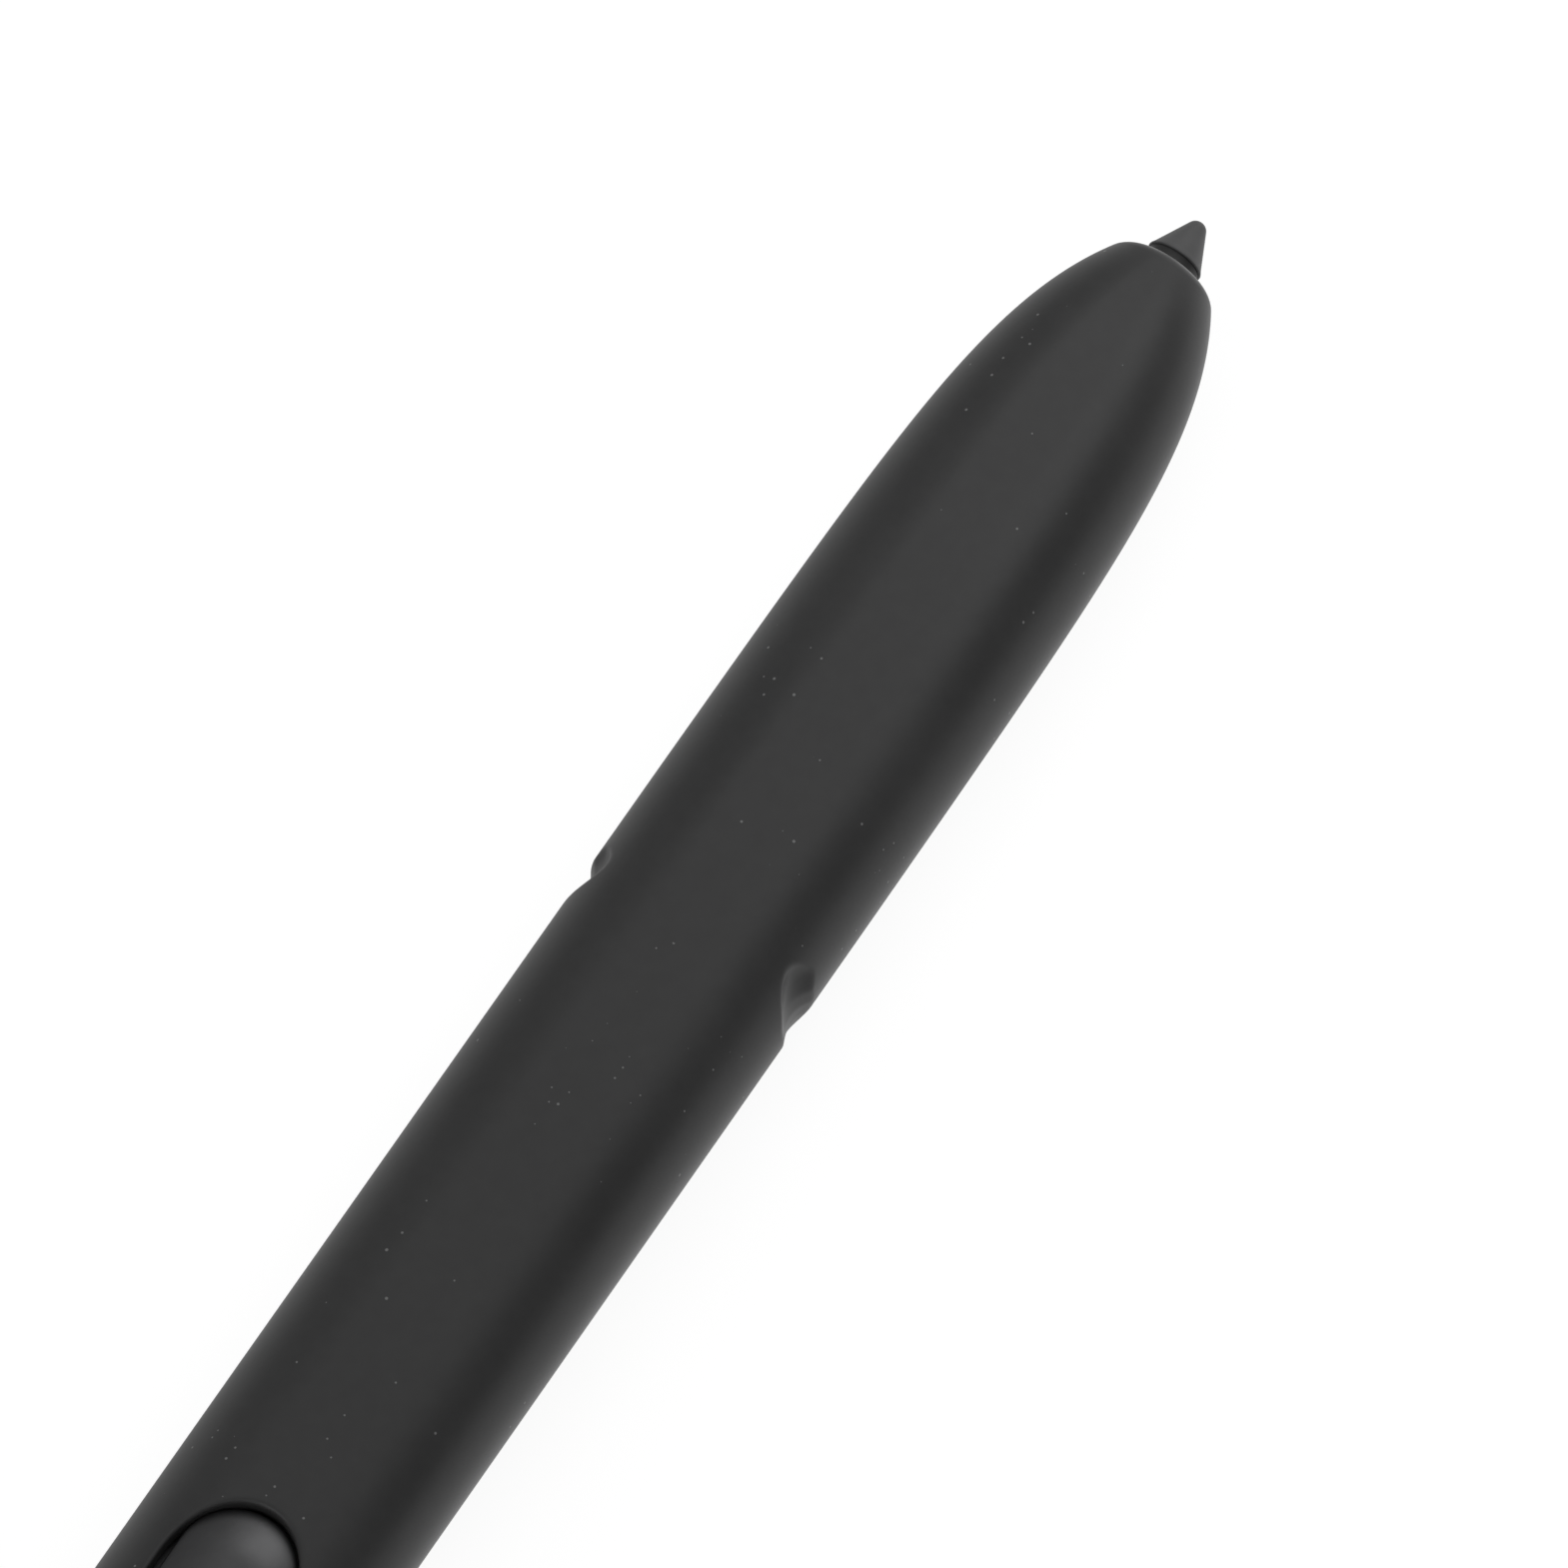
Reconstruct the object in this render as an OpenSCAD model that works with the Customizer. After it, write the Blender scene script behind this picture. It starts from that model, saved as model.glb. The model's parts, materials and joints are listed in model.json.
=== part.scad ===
// Slim stylus for a drawing tablet or phone: oval barrel with a round nose, pressure-sensing nib,
// side button, and a push-push click end that lifts the pen out of its slot.
// +X runs to the nib, +Y to the left, +Z up through the side button. The pen lies on its underside.
// Places along the pen are stations, in millimetres behind the nib's tip.

/* [Pen] */
// Length from the nib's tip to the end of the click knob
pen_len = 105.1; // [86:0.1:130]
// Width of the straight barrel
body_w = 5.8; // [5.4:0.05:7.2]
// Height of the straight barrel
body_h = 4.35; // [4.2:0.05:5.3]
// Wall of the barrel round the electronics
wall = 0.45; // [0.35:0.01:0.5]

/* [Nose] */
// Radius of the lip round the nib
lip_r = 1.19; // [1:0.01:1.4]
// Rounding of the lip's front edge
lip_round = 0.25; // [0.1:0.01:0.35]
// Radius of the mouth that the nib stands in
mouth_r = 0.78; // [0.6:0.01:0.85]
// Length from the lip to where the barrel is straight
nose_len = 16.5; // [12:0.1:20]
// Distance over which the nose opens most of the way
nose_curve = 2.6; // [2:0.05:3.5]
// Wall of the barrel round the coil
nose_wall = 0.55; // [0.5:0.01:0.7]

/* [Nib] */
// Radius of the rounded tip
tip_r = 0.245; // [0.1:0.005:0.3]
// Half the angle of the nib's cone
tip_angle = 25.1; // [20:0.1:32]
// Radius of the cone's base
cone_r = 0.68; // [0.6:0.01:0.74]
// Radius of the neck behind the cone
neck_r = 0.5; // [0.45:0.01:0.55]
// Radius of the shaft that plugs into the nib holder
shaft_r = 0.45; // [0.35:0.01:0.48]
// Length of the whole nib
nib_len = 12; // [10:0.1:14]
// How far the nib can be pressed in
nib_travel = 0.25; // [0.1:0.01:0.4]

/* [Slot notches] */
// Station of the pair of notches that the slot's catch grips
notch_u = 21.15; // [19:0.05:23]
// Radius of each notch
notch_r = 0.85; // [0.6:0.05:1.1]
// Depth of each notch at the barrel's widest
notch_depth = 0.3; // [0.2:0.01:0.5]

/* [Side button] */
// Station of the front end of the button's window
window_u = 38; // [37:0.1:42]
// Length of the window
window_len = 11.5; // [8:0.1:14]
// Width of the window
window_w = 3.14; // [2.8:0.01:3.2]
// Length of each rounded end of the window
window_end = 2.05; // [1.6:0.05:2.4]
// Gap at the ends of the button
button_gap = 0.18; // [0.1:0.01:0.3]
// Gap along the sides of the button
button_side_gap = 0.26; // [0.15:0.01:0.3]
// How far the button's crown stands above the barrel
button_rise = 0.15; // [0:0.01:0.3]
// How far the button can be pressed
button_travel = 0.25; // [0.1:0.01:0.3]

/* [Click end] */
// How far the knob stands out behind the collar
knob_out = 3.1; // [2.6:0.1:4]
// How far the knob clicks in
click_travel = 1.6; // [1:0.1:2]
// Length of the collar's rim
rim_len = 0.6; // [0.4:0.05:1]
// Thickness of the collar's skirt
skirt_t = 0.18; // [0.15:0.01:0.22]

/* [Electronics] */
// Length of the ferrite core
core_len = 10; // [8:0.1:11]
// Radius of the ferrite core
core_r = 1.25; // [1.1:0.01:1.3]
// Length of the coil on the core
coil_len = 7; // [4:0.1:7.5]
// Length of the circuit board
board_len = 34.5; // [34:0.1:36]
// Thickness of the circuit board
board_t = 0.35; // [0.3:0.01:0.4]
// Radius of the round cell
cell_r = 1.4; // [1:0.01:1.45]

/* [Fits] */
// Gap between pieces that sit together
seat = 0.03; // [0.02:0.01:0.04]
// Running gap round pieces that slide
slip = 0.05; // [0.04:0.01:0.07]

/* [Hidden] */
$fn = 64;

// Frame and section
half_len = pen_len / 2;
axis_z = body_h / 2;
body_r = body_h / 2;
flat = (body_w - body_h) / 2;
cavity_r = body_r - wall;
round_r = body_r - nose_wall;
eps = 0.01;

// Stations at the nose
cone_len = tip_r * (1 - sin(tip_angle)) + (cone_r - tip_r * cos(tip_angle)) / tan(tip_angle);
mouth_u = cone_len + nib_travel + 0.1;
seal_u = mouth_u + 1.55;
seal_len = 0.6;
seal_r = 1.2;
neck_end_u = seal_u + seal_len + nib_travel + 0.35;
round_u = 6;
cushion_t = 0.4;
core_u = round_u + seat + cushion_t + seat;
coil_u = core_u + 1.5;
holder_r = shaft_r + seat + 0.27;
holder_u = nib_len - 3;
core_bore_r = holder_r + 0.1;
coil_r = round_r - 0.12;

// Stations of the pressure sensor
case_r = round_r - slip;
case_u = core_u + core_len + 0.5;
case_wall = 0.35;
chamber_r = case_r - 0.32;
flange_u = case_u + case_wall + 0.25;
flange_t = 0.5;
pad_u = flange_u + flange_t;
pad_t = 0.6;
disc_u = pad_u + pad_t + nib_travel + slip;
disc_t = 0.5;
plug_u = disc_u + disc_t + seat;
case_end_u = plug_u + 0.9;
plug_rim = 0.6;
plug_end_u = case_end_u + seat + plug_rim;
flex_w = 1.2;
flex_t = 0.1;
flex_z = case_r - 0.22;

// Stations of the chassis, counted from both ends
cavity_u = plug_end_u + 2.2;
chassis_r = cavity_r - slip;
trough_u = cavity_u + 0.3;
trough_top = 0.6;
trough_half_w = flat + 1.27;
board_u = trough_u + 1.2;
board_end_u = board_u + board_len;
board_top = 0.05;
board_bottom = board_top - board_t;
board_half_w = trough_half_w - slip;
collar_end_u = pen_len - knob_out;
collar_u = collar_end_u - rim_len;
gasket_t = 0.1;
shell_end_u = collar_u - seat - gasket_t - seat;
skirt_r = cavity_r - slip;
knob_r = skirt_r - skirt_t - slip;
knob_shoulder_t = 0.5;
knob_shoulder_r = skirt_r - slip;
skirt_len = 1.9;
knob_shoulder_u = collar_u - skirt_len - slip - knob_shoulder_t;
guide_end_u = knob_shoulder_u - click_travel - 0.15;
slider_len = 8.8;
slider_u = knob_shoulder_u - slider_len;
block_len = 1.6;
block_end_u = slider_u - click_travel - 0.2;
guide_u = block_end_u - block_len;
chassis_end_u = guide_u - seat;
end_wall = 0.6;
cell_u = board_end_u + 2.5;
cell_end_u = chassis_end_u - end_wall - seat;

// The side button and its switch
window_mid_u = window_u + window_len / 2;
button_len = window_len - 2 * button_gap;
button_w = window_w - 2 * button_side_gap;
shoulder_out = 0.18;
button_top_z = body_r + button_rise;
shoulder_top = sqrt(cavity_r * cavity_r - pow(window_w / 2 + shoulder_out + slip - flat, 2)) - slip;
shoulder_t = 0.25;
shoulder_bottom = shoulder_top - shoulder_t;
nub_r = 0.65;
frame_bottom = trough_top + seat;
frame_t = 0.14;
nub_bottom = shoulder_bottom - 0.2;
stem_r = 0.4;
switch_h = 0.5;
switch_bottom = board_top + seat;
switch_top = switch_bottom + switch_h;
dome_h = 0.08;
dome_bottom = switch_bottom + 0.08;
stem_bottom = dome_bottom + dome_h + button_travel + seat;

// The push-push latch
slider_top = 0.55;
slider_bottom = -1.15;
slider_half_w = flat + 0.75;
wire_r = 0.15;
wire_tip_r = 0.13;
wire_z = slider_top + wire_r + 0.15;
lane = 0.42;
island_half_w = lane - wire_tip_r - 0.09;
pivot_u = guide_u + block_len / 2;
tip_u = slider_u + 3.3;
tip_reach = tip_u - pivot_u;
rest_angle = asin(lane / tip_reach);
groove_depth = 0.33;
bore_z = slider_bottom + 0.75;
spring_bore_r = 0.58;
spring_bore_len = 4;
spring_wire = 0.16;
spring_r = spring_bore_r - slip - spring_wire / 2;
spring_turns = 7;

// How far the nose has opened at a distance behind the lip, from 0 at the lip to 1 where it is straight
function opened(d) = (1 - exp(-d / nose_curve)) / (1 - exp(-nose_len / nose_curve));
function half_h(u) = lip_r + (body_r - lip_r) * min(1, opened(u - mouth_u));
function half_flat(u) = 0.02 + (flat - 0.02) * min(1, opened(u - mouth_u));

// Puts a shape drawn upwards along Z at a station, running to the rear, with its X up
module at(u) {
    translate([half_len - u, 0, axis_z])
        rotate([0, -90, 0])
            children();
}

// Puts a shape drawn about the pen's axis at a station, upright
module over(u) {
    translate([half_len - u, 0, axis_z])
        children();
}

module oval(r, side = flat) {
    square([2 * r, 2 * side], center = true);
    for (s = [-1, 1])
        translate([0, s * side])
            circle(r);
}

module oval_bar(u, end_u, r) {
    at(u)
        linear_extrude(end_u - u)
            oval(r);
}

module round_bar(u, end_u, r) {
    at(u)
        cylinder(h = end_u - u, r = r);
}

// A block between two stations, from -half_w to half_w, and from height low to high above the axis
module block(u, end_u, half_w, low, high) {
    over(end_u)
        translate([0, -half_w, low])
            cube([end_u - u, 2 * half_w, high - low]);
}

// An upright bar with round ends, centred on a station
module slot_bar(mid_u, len, w, low, high) {
    over(mid_u)
        translate([0, 0, low])
            linear_extrude(high - low)
                rotate(90)
                    oval(w / 2, (len - w) / 2);
}

// An oval bar whose rear edge is rounded
module soft_oval_bar(u, end_u, r, edge) {
    len = end_u - u;
    steps = 6;
    arc = [for (i = [0:steps]) [r - edge + edge * cos(90 * i / steps), len - edge + edge * sin(90 * i / steps)]];
    side = concat([[0, 0], [r, 0]], arc, [[0, len]]);
    at(u) {
        for (s = [-1, 1])
            translate([0, s * flat, 0])
                rotate_extrude()
                    polygon(side);
        rotate([90, 0, 0])
            linear_extrude(2 * flat, center = true)
                for (m = [0, 1])
                    mirror([m, 0])
                        polygon(side);
    }
}

// ---- Barrel

arc_pts = 22;
lip_steps = 4;
nose_steps = 20;

// One ring of the barrel's skin at a station, drawn in by inset
function ring(u, inset) =
    let (r = half_h(u) - inset, f = half_flat(u))
    [for (s = [1, -1], i = [0:arc_pts])
        let (a = 180 * i / arc_pts)
        [s * r * cos(a), s * (f + r * sin(a)), u]];

// The window's shape: straight sides between two half ellipses
module window_bar(low, high) {
    steps = 32;
    straight = window_len / 2 - window_end;
    points = [for (s = [1, -1], i = [0:steps])
        let (a = 90 - 180 * i / steps)
        [s * (straight + window_end * cos(a)), s * window_w / 2 * sin(a)]];
    over(window_mid_u)
        translate([0, 0, low])
            linear_extrude(high - low)
                polygon(points);
}

module barrel_skin() {
    lip_turns = [for (i = [0:lip_steps - 1]) 90 * i / lip_steps];
    nose_from = mouth_u + lip_round;
    nose_to = mouth_u + nose_len;
    rings = concat(
        [for (a = lip_turns) ring(mouth_u + lip_round * (1 - cos(a)), lip_round * (1 - sin(a)))],
        [for (i = [0:nose_steps]) ring(nose_from + (nose_to - nose_from) * pow(i / nose_steps, 1.8), 0)],
        [ring(shell_end_u, 0)]
    );
    n = 2 * (arc_pts + 1);
    last = len(rings) - 1;
    points = [for (r = rings, p = r) p];
    sides = [for (k = [0:last - 1], i = [0:n - 1], half = [0, 1])
        let (a = k * n + i, b = k * n + (i + 1) % n)
        half == 0 ? [a, b, b + n] : [a, b + n, a + n]];
    front = [for (i = [0:n - 1]) n - 1 - i];
    back = [for (i = [0:n - 1]) last * n + i];
    at(0)
        polyhedron(points = points, faces = concat([front], sides, [back]));
}

module barrel() {
    color([0.15, 0.15, 0.155])
        difference() {
            barrel_skin();
            round_bar(mouth_u - 1, seal_u + eps, mouth_r);
            round_bar(seal_u, round_u + eps, seal_r);
            round_bar(round_u, cavity_u + eps, round_r);
            oval_bar(cavity_u, shell_end_u + 1, cavity_r);
            window_bar(0.5, body_h);
            for (s = [-1, 1])
                over(notch_u)
                    translate([0, s * (body_w / 2 + notch_r - notch_depth), -body_h])
                        cylinder(h = 2 * body_h, r = notch_r);
        }
}

// ---- Nib and what moves with it

module nib() {
    steps = 6;
    turn = 90 - tip_angle;
    tip = [for (i = [0:steps]) [tip_r * sin(turn * i / steps), tip_r * (1 - cos(turn * i / steps))]];
    base = [[cone_r, cone_len], [cone_r - 0.03, cone_len + 0.04], [neck_r, cone_len + 0.04]];
    neck = [[neck_r, neck_end_u], [shaft_r, neck_end_u + 0.1]];
    tail = [[shaft_r, nib_len - 0.2], [shaft_r - 0.15, nib_len], [0, nib_len]];
    color([0.3, 0.3, 0.31])
        at(0)
            rotate_extrude()
                polygon(concat(tip, base, neck, tail));
}

module nib_seal() {
    out_r = seal_r - seat;
    in_r = neck_r + slip;
    color([0.08, 0.08, 0.08])
        at(seal_u + seat)
            rotate_extrude()
                polygon([
                    [in_r + 0.2, 0],
                    [out_r, 0],
                    [out_r, seal_len],
                    [in_r + 0.3, seal_len],
                    [in_r, seal_len * 0.6],
                    [in_r, seal_len * 0.4]
                ]);
}

module nib_holder() {
    color([0.85, 0.84, 0.8])
        difference() {
            union() {
                round_bar(holder_u, flange_u, holder_r);
                round_bar(flange_u - eps, flange_u + flange_t, chamber_r - 0.1);
            }
            round_bar(holder_u - eps, nib_len + 0.2, shaft_r + seat);
        }
}

module nib_pad() {
    r = chamber_r - 0.35;
    color([0.1, 0.1, 0.1])
        at(pad_u)
            rotate_extrude()
                polygon([[0, 0], [r, 0], [r, pad_t * 0.5], [r * 0.55, pad_t], [0, pad_t]]);
}

// ---- Coil

module core_cushion() {
    color([0.1, 0.1, 0.1])
        difference() {
            round_bar(round_u + seat, round_u + seat + cushion_t, round_r - slip);
            round_bar(round_u, round_u + cushion_t + 1, core_bore_r);
        }
}

module ferrite_core() {
    color([0.22, 0.21, 0.2])
        difference() {
            round_bar(core_u, core_u + core_len, core_r);
            round_bar(core_u - 1, core_u + core_len + 1, core_bore_r);
        }
}

// The turns show as ridges along the winding
module coil_winding() {
    turns = 20;
    pitch = coil_len / turns;
    in_r = core_r + seat;
    low = coil_r - 0.05;
    ridge = [for (i = [0:turns - 1], k = [0, 1]) [k == 0 ? low : coil_r, (i + 0.25 + 0.5 * k) * pitch]];
    color([0.72, 0.42, 0.2])
        at(coil_u)
            rotate_extrude()
                polygon(concat([[in_r, 0], [low, 0]], ridge, [[low, coil_len], [in_r, coil_len]]));
}

// A flexible strip from behind the coil, over the sensor and down to the board
module coil_flex() {
    start_u = coil_u + coil_len + 0.2;
    bend_u = cavity_u + 0.5;
    foot_u = board_u + 2.4;
    end_u = board_u + 4;
    foot_z = board_top + seat;
    path = [
        [-start_u, flex_z],
        [-bend_u, flex_z],
        [-foot_u, foot_z],
        [-end_u, foot_z],
        [-end_u, foot_z + flex_t],
        [-foot_u, foot_z + flex_t],
        [-bend_u, flex_z + flex_t],
        [-start_u, flex_z + flex_t]
    ];
    color([0.75, 0.45, 0.1])
        over(0)
            rotate([90, 0, 0])
                linear_extrude(flex_w, center = true)
                    polygon(path);
}

// ---- Pressure sensor

// The flat on top of the sensor that lets the coil's strip pass
module flex_flat(u, end_u) {
    block(u - eps, end_u + eps, body_w, flex_z - seat, body_h);
}

module sensor_case() {
    color([0.88, 0.88, 0.86])
        difference() {
            round_bar(case_u, case_end_u, case_r);
            round_bar(case_u - 1, case_end_u, holder_r + 0.1);
            round_bar(case_u + case_wall, case_end_u + 1, chamber_r);
            flex_flat(case_u, case_end_u);
        }
}

module sensor_disc() {
    color([0.9, 0.88, 0.8])
        round_bar(disc_u, disc_u + disc_t, chamber_r - slip);
}

module sensor_plug() {
    color([0.2, 0.2, 0.22])
        difference() {
            union() {
                round_bar(plug_u, case_end_u + seat + eps, chamber_r - slip);
                round_bar(case_end_u + seat, plug_end_u, case_r);
            }
            flex_flat(plug_u, plug_end_u);
        }
}

module sensor_leads() {
    color([0.8, 0.65, 0.3])
        for (s = [-1, 1])
            over(board_u + 2)
                translate([0, s * 1.1 - 0.15, board_top + seat])
                    cube([board_u + 2 - plug_end_u, 0.3, 0.1]);
}

// ---- Chassis and board

module chassis() {
    end_u = chassis_end_u;
    tray_end_u = board_end_u + slip;
    ledge_half_w = board_half_w - 0.5;
    color([0.32, 0.33, 0.34])
        difference() {
            union() {
                round_bar(plug_end_u + seat, trough_u + eps, case_r);
                oval_bar(trough_u, end_u, chassis_r);
            }
            block(plug_end_u, trough_u, body_w, board_bottom - slip, body_h);
            block(plug_end_u, end_u - end_wall, trough_half_w, board_bottom - seat, body_h);
            block(board_u, tray_end_u - 1, ledge_half_w, -chassis_r + 0.3, body_h);
            block(trough_u - eps, end_u + 1, body_w, trough_top, body_h);
            round_bar(cell_u - seat, end_u - end_wall, cell_r + seat);
        }
}

module circuit_board() {
    color([0.1, 0.25, 0.16])
        block(board_u, board_end_u, board_half_w, board_bottom, board_top);
}

// A flat package soldered on the board, by its front station, length, half width and height
module on_board(u, len, half_w, h) {
    block(u, u + len, half_w, board_top + seat, board_top + seat + h);
}

module radio_chip() {
    color([0.08, 0.08, 0.085])
        on_board(board_u + 7, 2.6, 1.3, 0.45);
}

module power_chip() {
    color([0.08, 0.08, 0.085])
        on_board(board_end_u - 6.5, 1.8, 0.9, 0.4);
}

module crystal() {
    color([0.75, 0.74, 0.7])
        on_board(board_u + 5, 1.2, 0.8, 0.35);
}

module chip_antenna() {
    color([0.92, 0.92, 0.9])
        on_board(board_end_u - 3.5, 1.6, 1.4, 0.5);
}

module board_capacitors() {
    color([0.6, 0.48, 0.32])
        for (k = [0:2], s = [-1, 1])
            over(board_u + 10.8 + k * 0.75)
                translate([0, s * 1.2 - 0.3, board_top + seat])
                    cube([0.3, 0.6, 0.3]);
}

// ---- Side button

module side_button() {
    long_crown = 80;
    cross_crown = 2.8;
    color([0.2, 0.2, 0.205]) {
        intersection() {
            slot_bar(window_mid_u, button_len, button_w, shoulder_top - eps, body_h);
            over(window_mid_u)
                translate([0, 0, button_top_z - long_crown])
                    rotate([90, 0, 0])
                        cylinder(h = body_w, r = long_crown, center = true, $fn = 360);
            over(window_mid_u)
                translate([0, 0, button_top_z - cross_crown])
                    rotate([0, 90, 0])
                        cylinder(h = window_len, r = cross_crown, center = true, $fn = 128);
        }
        slot_bar(window_mid_u, window_len + 0.8, window_w + 2 * shoulder_out, shoulder_bottom, shoulder_top);
        over(window_mid_u)
            translate([0, 0, nub_bottom])
                cylinder(h = shoulder_bottom - nub_bottom + eps, r = nub_r);
    }
}

module button_frame() {
    color([0.25, 0.25, 0.26])
        difference() {
            block(window_u - 0.7, window_u + window_len + 0.7, trough_half_w + 0.1, frame_bottom, frame_bottom + frame_t);
            over(window_mid_u)
                cylinder(h = body_h, r = nub_r + 0.1);
        }
}

module side_switch() {
    color([0.75, 0.76, 0.76])
        difference() {
            block(window_mid_u - 1.4, window_mid_u + 1.4, 1.2, switch_bottom, switch_top);
            over(window_mid_u)
                translate([0, 0, dome_bottom - seat])
                    cylinder(h = body_h, r = stem_r + 0.07);
        }
}

module switch_stem() {
    color([0.9, 0.9, 0.88])
        over(window_mid_u)
            translate([0, 0, stem_bottom])
                cylinder(h = nub_bottom - seat - stem_bottom, r = stem_r);
}

module switch_dome() {
    color([0.8, 0.7, 0.4])
        over(window_mid_u)
            translate([0, 0, dome_bottom])
                rotate_extrude()
                    polygon([[0, 0], [stem_r, 0], [stem_r * 0.6, dome_h], [0, dome_h]]);
}

// ---- Cell

module cell() {
    cap_r = cell_r - 0.15;
    color([0.7, 0.71, 0.73])
        at(cell_u)
            rotate_extrude()
                polygon([
                    [0, 0],
                    [cap_r, 0],
                    [cell_r, 0.15],
                    [cell_r, cell_end_u - cell_u],
                    [0, cell_end_u - cell_u]
                ]);
}

module cell_tabs() {
    from_u = board_end_u - 1;
    color([0.78, 0.77, 0.74])
        for (s = [-1, 1])
            over(cell_u - seat)
                translate([0, s * 0.75 - 0.4, board_top + seat])
                    cube([cell_u - seat - from_u, 0.8, 0.1]);
}

module cell_pad() {
    color([0.12, 0.12, 0.13])
        block(cell_u + 2, cell_end_u - 2, 0.5, cell_r + seat, cavity_r - slip);
}

// ---- Click end

module click_guide() {
    half_w = slider_half_w + slip;
    color([0.3, 0.31, 0.32])
        difference() {
            oval_bar(guide_u, guide_end_u, chassis_r);
            block(guide_u - 1, guide_end_u + 1, body_w, trough_top, body_h);
            block(block_end_u, guide_end_u + 1, half_w, slider_bottom - slip, body_h);
            over(pivot_u)
                translate([0, 0, -0.6])
                    cylinder(h = body_h, r = wire_r + slip);
        }
}

module click_slider() {
    island = [
        [-0.42, 0],
        [-0.2, island_half_w],
        [0.1, island_half_w],
        [0.3, 0.06],
        [0.3, -0.06],
        [0.1, -island_half_w],
        [-0.2, -island_half_w]
    ];
    groove_len = click_travel + 0.75;
    groove_mid_u = tip_u + click_travel / 2;
    groove_half_w = lane + wire_tip_r + 0.08;
    color([0.86, 0.86, 0.84]) {
        difference() {
            block(slider_u, knob_shoulder_u, slider_half_w, slider_bottom, slider_top);
            difference() {
                block(groove_mid_u - groove_len / 2, groove_mid_u + groove_len / 2, groove_half_w,
                    slider_top - groove_depth, body_h);
                over(groove_mid_u)
                    linear_extrude(body_h, center = true)
                        polygon(island);
            }
            translate([0, 0, bore_z])
                round_bar(slider_u - 1, slider_u + spring_bore_len, spring_bore_r);
        }
    }
}

// A round wire wound about the line that it stands on, swept as rings of eight points
module click_spring() {
    from_u = block_end_u + seat;
    to_u = slider_u + spring_bore_len - seat;
    sides = 8;
    per_turn = 12;
    rings = spring_turns * per_turn;
    w = spring_wire / 2;
    rise = to_u - from_u - 2 * w;
    slope = atan(rise / (spring_turns * 2 * PI * spring_r));
    points = [for (k = [0:rings], i = [0:sides - 1])
        let (
            turn = 360 * k / per_turn,
            a = 360 * i / sides,
            out = spring_r + w * cos(a),
            tilt = w * sin(a) * sin(slope)
        )
        [
            out * cos(turn) + tilt * sin(turn),
            out * sin(turn) - tilt * cos(turn),
            w + rise * k / rings + w * sin(a) * cos(slope)
        ]];
    skin = [for (k = [0:rings - 1], i = [0:sides - 1], half = [0, 1])
        let (a = k * sides + i, b = k * sides + (i + 1) % sides)
        half == 0 ? [a, b + sides, b] : [a, a + sides, b + sides]];
    start = [for (i = [0:sides - 1]) i];
    end = [for (i = [0:sides - 1]) rings * sides + sides - 1 - i];
    color([0.75, 0.76, 0.78])
        translate([0, 0, bore_z])
            at(from_u)
                polyhedron(points = points, faces = concat([start], skin, [end]));
}

// The wire stands in the guide's block, runs back over the slider and dips into its groove
module latch_wire() {
    color([0.8, 0.8, 0.82])
        over(pivot_u)
            rotate(rest_angle) {
                translate([0, 0, -0.5])
                    cylinder(h = wire_z + 0.5, r = wire_r);
                translate([0, 0, wire_z])
                    sphere(wire_r);
                translate([-tip_reach / cos(rest_angle), 0, wire_z])
                    rotate([0, 90, 0])
                        cylinder(h = tip_reach / cos(rest_angle), r = wire_r);
                translate([-tip_reach / cos(rest_angle), 0, slider_top - groove_depth + 0.08])
                    cylinder(h = wire_z - slider_top + groove_depth - 0.08, r = wire_tip_r);
                translate([-tip_reach / cos(rest_angle), 0, wire_z])
                    sphere(wire_r);
            }
}

// A springy strip that holds the wire down in the groove
module latch_keeper() {
    low = wire_z + wire_r + seat;
    color([0.7, 0.71, 0.74]) {
        block(guide_u + 0.05, pivot_u + 4.5, 0.8, low, low + 0.08);
        block(guide_u + 0.05, guide_u + 0.15, 0.8, trough_top + seat, low + eps);
    }
}

module tail_gasket() {
    color([0.05, 0.05, 0.05])
        difference() {
            oval_bar(shell_end_u + seat, collar_u - seat, body_r - 0.08);
            oval_bar(shell_end_u - 1, collar_u + 1, skirt_r + seat);
        }
}

module tail_collar() {
    color([0.3, 0.3, 0.31])
        difference() {
            union() {
                soft_oval_bar(collar_u, collar_end_u, body_r, 0.2);
                oval_bar(collar_u - skirt_len, collar_u + eps, skirt_r);
            }
            oval_bar(collar_u - skirt_len - 1, collar_end_u + 1, knob_r + slip);
        }
}

module click_knob() {
    color([0.15, 0.15, 0.155]) {
        soft_oval_bar(knob_shoulder_u + knob_shoulder_t - eps, pen_len, knob_r, 0.6);
        oval_bar(knob_shoulder_u, knob_shoulder_u + knob_shoulder_t, knob_shoulder_r);
    }
}

barrel();
nib();
nib_seal();
nib_holder();
nib_pad();
core_cushion();
ferrite_core();
coil_winding();
coil_flex();
sensor_case();
sensor_disc();
sensor_plug();
sensor_leads();
chassis();
circuit_board();
radio_chip();
power_chip();
crystal();
chip_antenna();
board_capacitors();
side_button();
button_frame();
side_switch();
switch_stem();
switch_dome();
cell();
cell_tabs();
cell_pad();
click_guide();
click_slider();
click_spring();
latch_wire();
latch_keeper();
tail_gasket();
tail_collar();
click_knob();
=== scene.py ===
# %% [markdown]
# # A slim stylus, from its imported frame
# The pen lies on its flat underside with its nib along +X and its side button up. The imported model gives
# the place and size of every piece. This lesson makes fine surfaces for the pieces that show or bend, and
# a finish for all of them.
# Places on the pen are in millimetres until a mesh is written, because the whole pen is thinner than a
# pencil. Stations along it are counted backwards from the nib's tip. The grain of a finish, the table and
# the lamp are in metres.

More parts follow.
